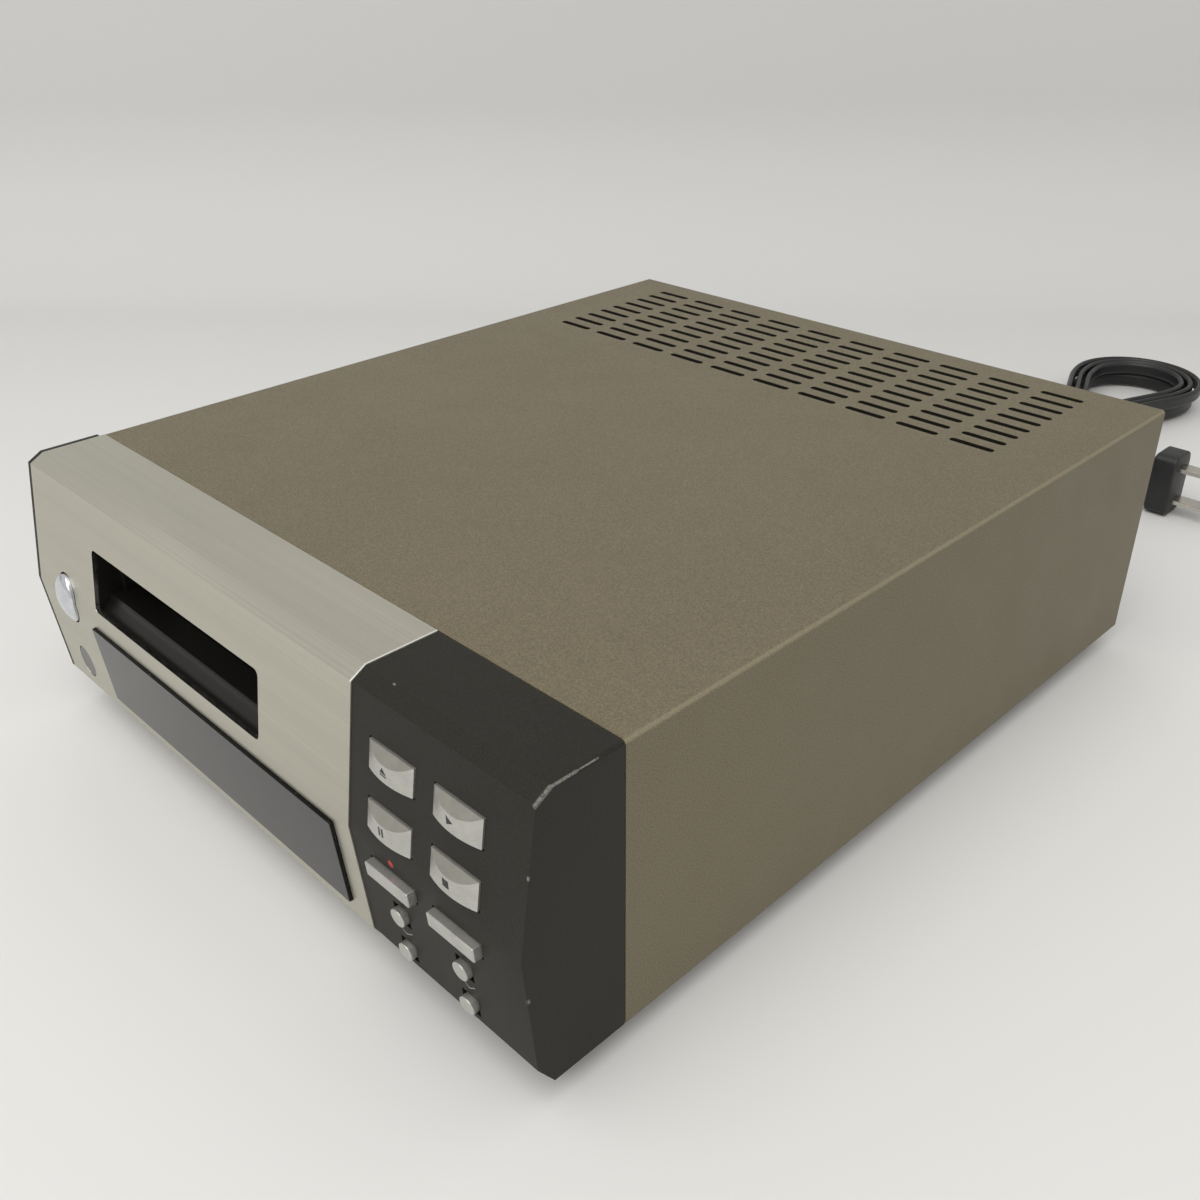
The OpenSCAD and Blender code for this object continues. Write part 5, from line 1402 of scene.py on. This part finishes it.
@dataclass
class Keys:
    """The buttons: crowned bars, flat bars, small round studs and the oval power button."""

    panel: PanelShape
    column_x: Pair = (61.6 * MM, 81.3 * MM)
    key_rows_z: Pair = (56.2 * MM, 43 * MM)
    key_half: Pair = (6.85 * MM, 3.15 * MM)
    key_edge: float = 0.2 * MM
    ridge_out: float = 2 * MM
    ridge_rise: float = 1.2 * MM
    ridge_margin: float = 0.08 * MM
    face_slope: float = 0.7 / 4.35
    end_out: float = 0.3 * MM
    top_out: float = 0.4 * MM
    bar_z: float = 30 * MM
    bar_half_h: float = 1.8 * MM
    bar_out: float = 2 * MM
    bar_edge: float = 0.4 * MM
    dot_rows_z: Pair = (20 * MM, 10 * MM)
    dot_radius: float = 2.2 * MM
    dot_out: float = 1.4 * MM
    dot_edge: float = 0.3 * MM
    dish_depth: float = 0.12 * MM
    power: Pair = (-82 * MM, 36 * MM)
    power_half: Pair = (5 * MM, 7 * MM)
    power_out: float = 2.2 * MM
    power_edge: float = 0.5 * MM
    skirt_reach: float = 5.6 * MM
    symbol_half: float = 1.05 * MM
    symbol_shift: Pair = (-0.7 * MM, -0.6 * MM)
    record_mark_z: float = 34.3 * MM
    record_mark_radius: float = 0.85 * MM
    link_x_mm: tuple[Pair, Pair] = ((59.4, 63.8), (79.7, 83.5))
    link_z: float = 15.2 * MM
    link_sag: float = 0.55 * MM
    link_half: float = 0.11 * MM

    def crown_out(self, x: np.ndarray, v: np.ndarray) -> np.ndarray:
        """How far a main button's front stands over the panel.

        Its face is an arch across X that grows towards the ridge; a flat facet cuts it off above the ridge.

        Args:
            x: Distance from the button's middle along X.
            v: Height above the button's middle.

        Returns:
            The lesser of face and facet at each point.
        """
        half_w, half_h = self.key_half
        arch = 1 - (x / half_w) ** 2
        middle = self.ridge_out - self.face_slope * (self.ridge_rise - v)
        face = self.end_out + (middle - self.end_out) * arch
        return np.minimum(face, self.top_out + self.facet_slope * (half_h - v))

    @property
    def facet_slope(self) -> float:
        """How steeply the upper facet falls from the ridge to the top edge."""
        return (self.ridge_out - self.top_out) / (self.key_half[1] - self.ridge_rise)

    def ridge_v(self, x: np.ndarray) -> np.ndarray:
        """Height of the ridge over the button's middle: where face and facet meet, inside the top edge."""
        half_w, half_h = self.key_half
        arch = 1 - (x / half_w) ** 2
        low_out = self.ridge_out - self.face_slope * (self.ridge_rise + half_h)
        top = self.top_out + self.facet_slope * half_h - self.end_out
        face = (low_out - self.end_out + self.face_slope * half_h) * arch
        ridge = (top - face) / (self.face_slope * arch + self.facet_slope)
        return np.minimum(ridge, half_h - self.ridge_margin)

    def shell(
        self,
        outline: Callable[[float], np.ndarray],
        front: Callable[[np.ndarray], np.ndarray],
        back_y: float,
        edge: float,
        middle: Pair,
    ) -> np.ndarray:
        """Rings of a button: skirt, rounded edge, then the front shrunk towards its middle.

        A ring is the outline moved inwards; its Y is the front surface at each point plus the depth of the
        rounded edge there, a quarter circle.

        Args:
            outline: Function from an inset to outline points about the middle.
            front: Function from points (x, z) in the deck frame to Y of the front surface.
            back_y: Y where the skirt ends.
            edge: Radius of the rounded edge.
            middle: Middle of the button in x and z.

        Returns:
            Array of rings by points by three, in the row frame.
        """
        turn = np.linspace(0, math.pi / 2, 7)
        insets = np.concatenate((edge * (1 - np.cos(turn)), edge + np.linspace(0.15, 1, 7) * MM))
        depths = np.concatenate((edge * (1 - np.sin(turn)), np.zeros(7)))
        rings = [upright(outline(0) + middle, back_y)]
        for inset, depth in zip(insets, depths):
            ring = outline(inset) + middle
            rings.append(upright(ring, front(ring) + depth))
        last = outline(insets[-1])
        for share in np.linspace(0.9, 0.03, 12):
            ring = last * share + middle
            rings.append(upright(ring, front(ring)))
        return self.panel.row(np.stack(rings))

    def key(self, node: str, x: float, z: float) -> None:
        """A main button: a grid whose middle row follows the ridge, a skirt round it and a back.

        Args:
            node: The button's node.
            x: Middle of the button.
            z: Height of its middle.
        """
        half_w, half_h = self.key_half
        across = np.linspace(-half_w, half_w, 41)
        ridge = self.ridge_v(across)
        face = -half_h + np.linspace(0, 1, 11)[:, None] * (ridge + half_h)
        facet = ridge + np.linspace(0, 1, 6)[1:, None] * (half_h - ridge)
        v = np.vstack((face, facet))
        px = np.broadcast_to(across, v.shape)
        y = self.panel.face_y(z + v) - self.crown_out(px, v) * self.panel.stretch(z)
        front = np.stack((x + px, y, z + v), axis=-1)
        rows, columns = v.shape
        count = rows * columns
        rim = rim_numbers(rows, columns)
        back = front.reshape(-1, 3)[rim]
        back[:, 1] = self.rim(node)
        number = count + np.arange(len(rim))
        skirt = np.stack((rim, np.roll(rim, -1), np.roll(number, -1), number), axis=-1)
        faces = grid_faces(rows, columns, False, False).tolist() + skirt.tolist() + [number.tolist()]
        points = self.panel.row(np.vstack((front.reshape(-1, 3), back)))
        piece = self.finish(node, points, faces, BUTTON)
        # The upper facet takes the darker copy of the finish, whose darker colour is painted shade.
        piece.data.materials.append(SHADED_CROWN.material())
        shaded_facet = np.zeros(len(faces), np.int32)
        shaded_facet[(len(face) - 1) * (columns - 1) : (rows - 1) * (columns - 1)] = 1
        piece.data.polygons.foreach_set("material_index", shaded_facet)
        piece.data.set_sharp_from_angle(angle=math.radians(22))
        round_edges(piece, self.key_edge, 3, 50)

    def bar(self, node: str, x: float) -> None:
        """A flat bar: its front is parallel to the lower face.

        Args:
            node: The button's node.
            x: Middle of the button.
        """
        lift = self.panel.stretch(self.bar_z)
        half_w, half_h = self.key_half[0], self.bar_half_h

        def outline(inset: float) -> np.ndarray:
            """The bar's outline, moved inwards."""
            corner = max(0.3 * MM - inset, 0.1 * MM)
            return rounded_outline(half_w - inset, max(half_h - inset, 0.15 * MM), corner, 5)

        def front(ring: np.ndarray) -> np.ndarray:
            """Y of the bar's front."""
            return self.panel.face_y(ring[:, 1]) - self.bar_out * lift

        rings = self.shell(outline, front, self.rim(node), self.bar_edge, (x, self.bar_z))
        self.finish(node, *closed_rings(rings))

    def dot(self, node: str, x: float, z: float) -> None:
        """A small round stud with a turned edge and a shallow dish: its front falls back by a cosine.

        Args:
            node: The button's node.
            x: Middle of the button.
            z: Height of its middle.
        """
        lift = self.panel.stretch(z)
        unit = circle(32)

        def outline(inset: float) -> np.ndarray:
            """The stud's circle, moved inwards."""
            return unit * (self.dot_radius - inset)

        def front(ring: np.ndarray) -> np.ndarray:
            """Y of the stud's dished front."""
            away = np.hypot(ring[:, 0] - x, ring[:, 1] - z) / self.dot_radius
            dish = self.dish_depth * (1 + np.cos(np.clip(away / 0.8, 0, 1) * math.pi)) / 2
            return self.panel.face_y(ring[:, 1]) - self.dot_out * lift + dish

        rings = self.shell(outline, front, self.rim(node), self.dot_edge, (x, z))
        self.finish(node, *closed_rings(rings))

    def power_key(self) -> None:
        """The power button: an oval outline under a sphere that passes through its top and bottom ends."""
        x, z = self.power
        half_w, half_h = self.power_half
        radius = (half_h * half_h + self.power_out * self.power_out) / (2 * self.power_out)
        unit = circle(64)

        def outline(inset: float) -> np.ndarray:
            """The oval, moved inwards."""
            return unit * (half_w - inset, half_h - inset)

        def front(ring: np.ndarray) -> np.ndarray:
            """Y of the sphere's front."""
            square = (ring[:, 0] - x) ** 2 + (ring[:, 1] - z) ** 2
            return radius - self.power_out - self.panel.crease_out - np.sqrt(radius * radius - square)

        rings = self.shell(outline, front, self.rim("power_button"), self.power_edge, (x, z))
        self.finish("power_button", *closed_rings(rings), CHROME)

    def rim(self, node: str) -> float:
        """Y in the deck frame where a button's skirt ends, close behind the panel."""
        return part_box(node)[0].y - self.panel.origin.y + self.skirt_reach

    def finish(
        self, node: str, points: np.ndarray, faces: list, finish: Finish = BUTTON
    ) -> bpy.types.Object:
        """Makes a button's piece and lets it replace its node.

        Args:
            node: The button's node.
            points: Points in the row frame.
            faces: Lists of point numbers.
            finish: The button's finish.

        Returns:
            The piece.
        """
        piece = new_piece(node.replace("_button", "_cap"), points, faces, finish, body_of(node), 35)
        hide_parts(node)
        return piece

    def mark(self, name: str, node: str, mark: Mark, x: float, z: float) -> None:
        """Prints a symbol on a main button: patches on a grid of u and v, laid on the crowned front.

        A patch's point is the mean of its four corners, weighted by u and v.

        Args:
            name: Name of the piece.
            node: The button that carries it.
            mark: The symbol.
            x: Middle of the button.
            z: Height of the button's middle.
        """
        side = 9
        count = side * side
        steps = np.linspace(0, 1, side)
        u, v = (grid[..., None] for grid in np.meshgrid(steps, steps, indexing="ij"))
        quads = grid_faces(side, side, False, False)
        rim = rim_numbers(side, side)
        beside = np.roll(rim, -1)
        points, faces = [], []
        for number, corners in enumerate(mark.value):
            a, b, c, d = (np.array(p, float) for p in corners)
            flat = (1 - u) * ((1 - v) * a + v * d) + u * ((1 - v) * b + v * c)
            px, pz = np.moveaxis(flat * self.symbol_half + self.symbol_shift, -1, 0)
            for lift in (PRINT_OUT, -PRINT_ROOT):
                y = self.panel.face_y(z + pz) - (self.crown_out(px, pz) + lift) * self.panel.stretch(z)
                points.append(np.stack((x + px, y, z + pz), axis=-1).reshape(-1, 3))
            base = 2 * count * number
            faces += (quads + base).tolist()
            faces += (quads[:, ::-1] + base + count).tolist()
            faces += (np.stack((rim, rim + count, beside + count, beside), axis=-1) + base).tolist()
        piece = new_piece(name, self.panel.row(np.vstack(points)), faces, BLACK_INK, body_of(node), 30)

    def panel_print(self) -> None:
        """The record dot and the thin link lines between the pairs of studs, printed on the panel."""
        middle = (self.column_x[0], self.record_mark_z)
        self.printed("record_dot", middle + self.record_mark_radius * circle(24), RED_INK)
        share = np.linspace(0, 1, 20)
        rise = self.link_z + self.link_sag * np.cos(share * 2 * math.pi)
        half = np.array((0, self.link_half))
        for name, (left, right) in zip(("left", "right"), self.link_x_mm):
            line = np.column_stack(((left + (right - left) * share) * MM, rise))
            self.printed(f"{name}_link_line", np.vstack((line + half, (line - half)[::-1])), PALE_INK)

    def printed(self, name: str, outline: np.ndarray, finish: Finish) -> None:
        """Lays a thin flat print on the panel: its outline as two rings a hair apart.

        Args:
            name: Name of the piece.
            outline: Points (x, z) in the deck frame.
            finish: The ink.
        """
        face = self.panel.face_y(outline[:, 1])
        rings = np.stack([upright(outline, face - lift) for lift in (-PRINT_ROOT, PRINT_OUT)])
        piece = new_piece(name, *closed_rings(self.panel.row(rings)), finish, "deck", 30)

    def build(self) -> None:
        """Makes every button, its symbol and the prints beside the buttons."""
        names = (
            ("eject_button", 0, 0, Mark.EJECT),
            ("pause_button", 0, 1, Mark.PAUSE),
            ("play_button", 1, 0, Mark.PLAY),
            ("stop_button", 1, 1, Mark.STOP),
        )
        for node, column, row, mark in names:
            x, z = self.column_x[column], self.key_rows_z[row]
            self.key(node, x, z)
            self.mark(node.replace("_button", "_symbol"), node, mark, x, z)
        self.bar("record_button", self.column_x[0])
        self.bar("mode_button", self.column_x[1])
        for column, side in enumerate(("left", "right")):
            for row, level in enumerate(("upper", "lower")):
                self.dot(f"{level}_{side}_dot_button", self.column_x[column], self.dot_rows_z[row])
        self.power_key()
        self.panel_print()


@dataclass
class FrontPanel:
    """The aluminium fascia, the dark moulding, the windows and the disc slot."""

    panel: PanelShape
    largest_cut: float = 110 * MM * MM
    cut_depth: float = 5 * MM

    def fascia(self) -> None:
        """The fascia's cut edges are brighter than its brushed faces."""
        piece = softened("silver_fascia", "aluminium_fascia", FASCIA, 0.16 * MM)
        piece.data.materials.append(FASCIA_EDGE.material())
        area = np.zeros(len(piece.data.polygons))
        piece.data.polygons.foreach_get("area", area)
        normal, middle = face_values(piece.data, "normal"), face_values(piece.data, "center")
        forward = middle[:, 1] < self.panel.origin.y - self.cut_depth
        cut = (area < self.largest_cut) & forward & (np.abs(normal[:, 1]) < 0.9)
        piece.data.polygons.foreach_set("material_index", cut.astype(np.int32))

    def window(self) -> None:
        """The smoked plate stands proud of the fascia; its cut edges are black."""
        piece = softened("display_window", "display_glass_plate", WINDOW, 0.15 * MM)
        piece.data.materials.append(WINDOW_EDGE.material())
        edge = face_values(piece.data, "normal")[:, 1] > -0.9
        piece.data.polygons.foreach_set("material_index", edge.astype(np.int32))

    def build(self) -> None:
        """Makes the front panel's pieces."""
        self.fascia()
        softened("front_base", "dark_moulding", CHARCOAL, 0.3 * MM, 3)
        self.window()
        softened("remote_window", "infrared_plate", LENS, 0.2 * MM)
        softened("slot_bezel", "slot_funnel", BLACK_MOULDING, 0.25 * MM, 3)
        softened("slot_door", "slot_flap", GLOSS_BLACK, 0.25 * MM, 3)


# --------------------------------------------------------------------------------------------------
# Rear sockets and inner parts
# --------------------------------------------------------------------------------------------------


@dataclass
class RearSockets:
    """The plated collars of the line jacks with their coloured insulators."""

    pitch: float = 14 * MM
    reach: float = 9 * MM
    from_left: float = 7 * MM
    from_top: float = 6 * MM
    block_back: float = 1.05 * MM
    block_edge: float = 0.4 * MM
    block_corner: float = 0.8 * MM

    def turned(
        self, name: str, profile_mm: list[Pair], place: Point, around: int, finish: Finish
    ) -> bpy.types.Object:
        """Makes a ring whose closed profile is turned about an axis along Y.

        Args:
            name: The piece's name.
            profile_mm: Pairs of radius and distance along the axis.
            place: Where the axis starts.
            around: Points in a ring.
            finish: The piece's finish.

        Returns:
            The piece.
        """
        rings = lathe(np.array(profile_mm) * MM, place, "y", around)
        faces = grid_faces(len(profile_mm), around, True, True).tolist()
        return new_piece(name, rings, faces, finish, "deck", 30)

    def collar(self, name: str, place: Point, ring_finish: Finish) -> None:
        """A turned collar with a rounded lip over a coloured insulator with a centre hole.

        Args:
            name: Start of the pieces' names.
            place: Middle of the jack on the panel's outer face.
            ring_finish: Finish of the insulator.
        """
        lip = self.reach / MM
        collar = [(3.3, 1.0), (4.1, 0.02), (4.12, 1.0), (4.12, lip - 0.5), (3.95, lip - 0.1)]
        collar += [(3.5, lip), (3.3, lip - 0.2)]
        piece = self.turned(f"{name}_collar", collar, place, 40, GOLD)
        insulator = [(1.65, 1.0), (3.3, 1.0), (3.3, 8.2), (3.0, 8.5), (2.1, 8.5), (1.65, 8.2)]
        ring = self.turned(f"{name}_insulator", insulator, place, 32, ring_finish)
        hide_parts("line_jacks")

    def build(self) -> None:
        """Makes four collars over the jack block."""
        low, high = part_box("line_jacks")
        back = high.y - self.reach
        left = low.x + self.from_left
        bottom = high.z - self.from_top - self.pitch
        for column in (0, 1):
            for row, ring in ((0, RED_RING), (1, WHITE_RING)):
                place = (left + column * self.pitch, back, bottom + row * self.pitch)
                self.collar(f"line_jack_{column + 1}_{row + 1}", place, ring)
        middle = (low + high) / 2
        outline = rounded_outline((high.x - low.x) / 2, (high.z - low.z) / 2, self.block_corner, 4)
        near, far = low.y, back - self.block_back
        ends = ((near, 0.98), (near + self.block_edge, 1.0), (far - self.block_edge, 1.0), (far, 0.98))
        rings = np.stack([upright(outline * k + (middle.x, middle.z), y) for y, k in ends])
        new_piece("jack_block", *closed_rings(rings), EPOXY, "deck", 30)


def dress_nodes() -> None:
    """Gives every CAD node that still shows its own finish."""
    for node, finish in NODE_FINISH.items():
        part = FRAME["nodes"][node]
        part.data.materials.clear()
        part.data.materials.append(finish.material())
    LOG.info("dressed %d nodes", len(NODE_FINISH))


def main() -> None:
    """Builds the studio and each sub-assembly in order."""
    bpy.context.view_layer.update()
    cover_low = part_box("top_cover")[0]
    origin = Vector((0, cover_low.y, cover_low.z))
    panel = PanelShape(origin)
    Studio(origin).build()
    MainsLead().build()
    Cabinet().build()
    FrontPanel(panel).build()
    Keys(panel).build()
    RearSockets().build()
    dress_nodes()


logging.basicConfig(level=logging.INFO, format="%(name)s: %(message)s")
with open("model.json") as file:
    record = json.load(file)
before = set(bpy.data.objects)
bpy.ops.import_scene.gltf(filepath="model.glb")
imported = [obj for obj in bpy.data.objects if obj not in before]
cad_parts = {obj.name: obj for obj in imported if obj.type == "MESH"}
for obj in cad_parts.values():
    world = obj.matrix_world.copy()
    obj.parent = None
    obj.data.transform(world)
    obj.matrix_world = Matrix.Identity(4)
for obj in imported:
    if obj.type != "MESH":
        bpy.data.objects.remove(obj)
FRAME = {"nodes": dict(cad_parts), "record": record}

if __name__ == "__main__":
    main()
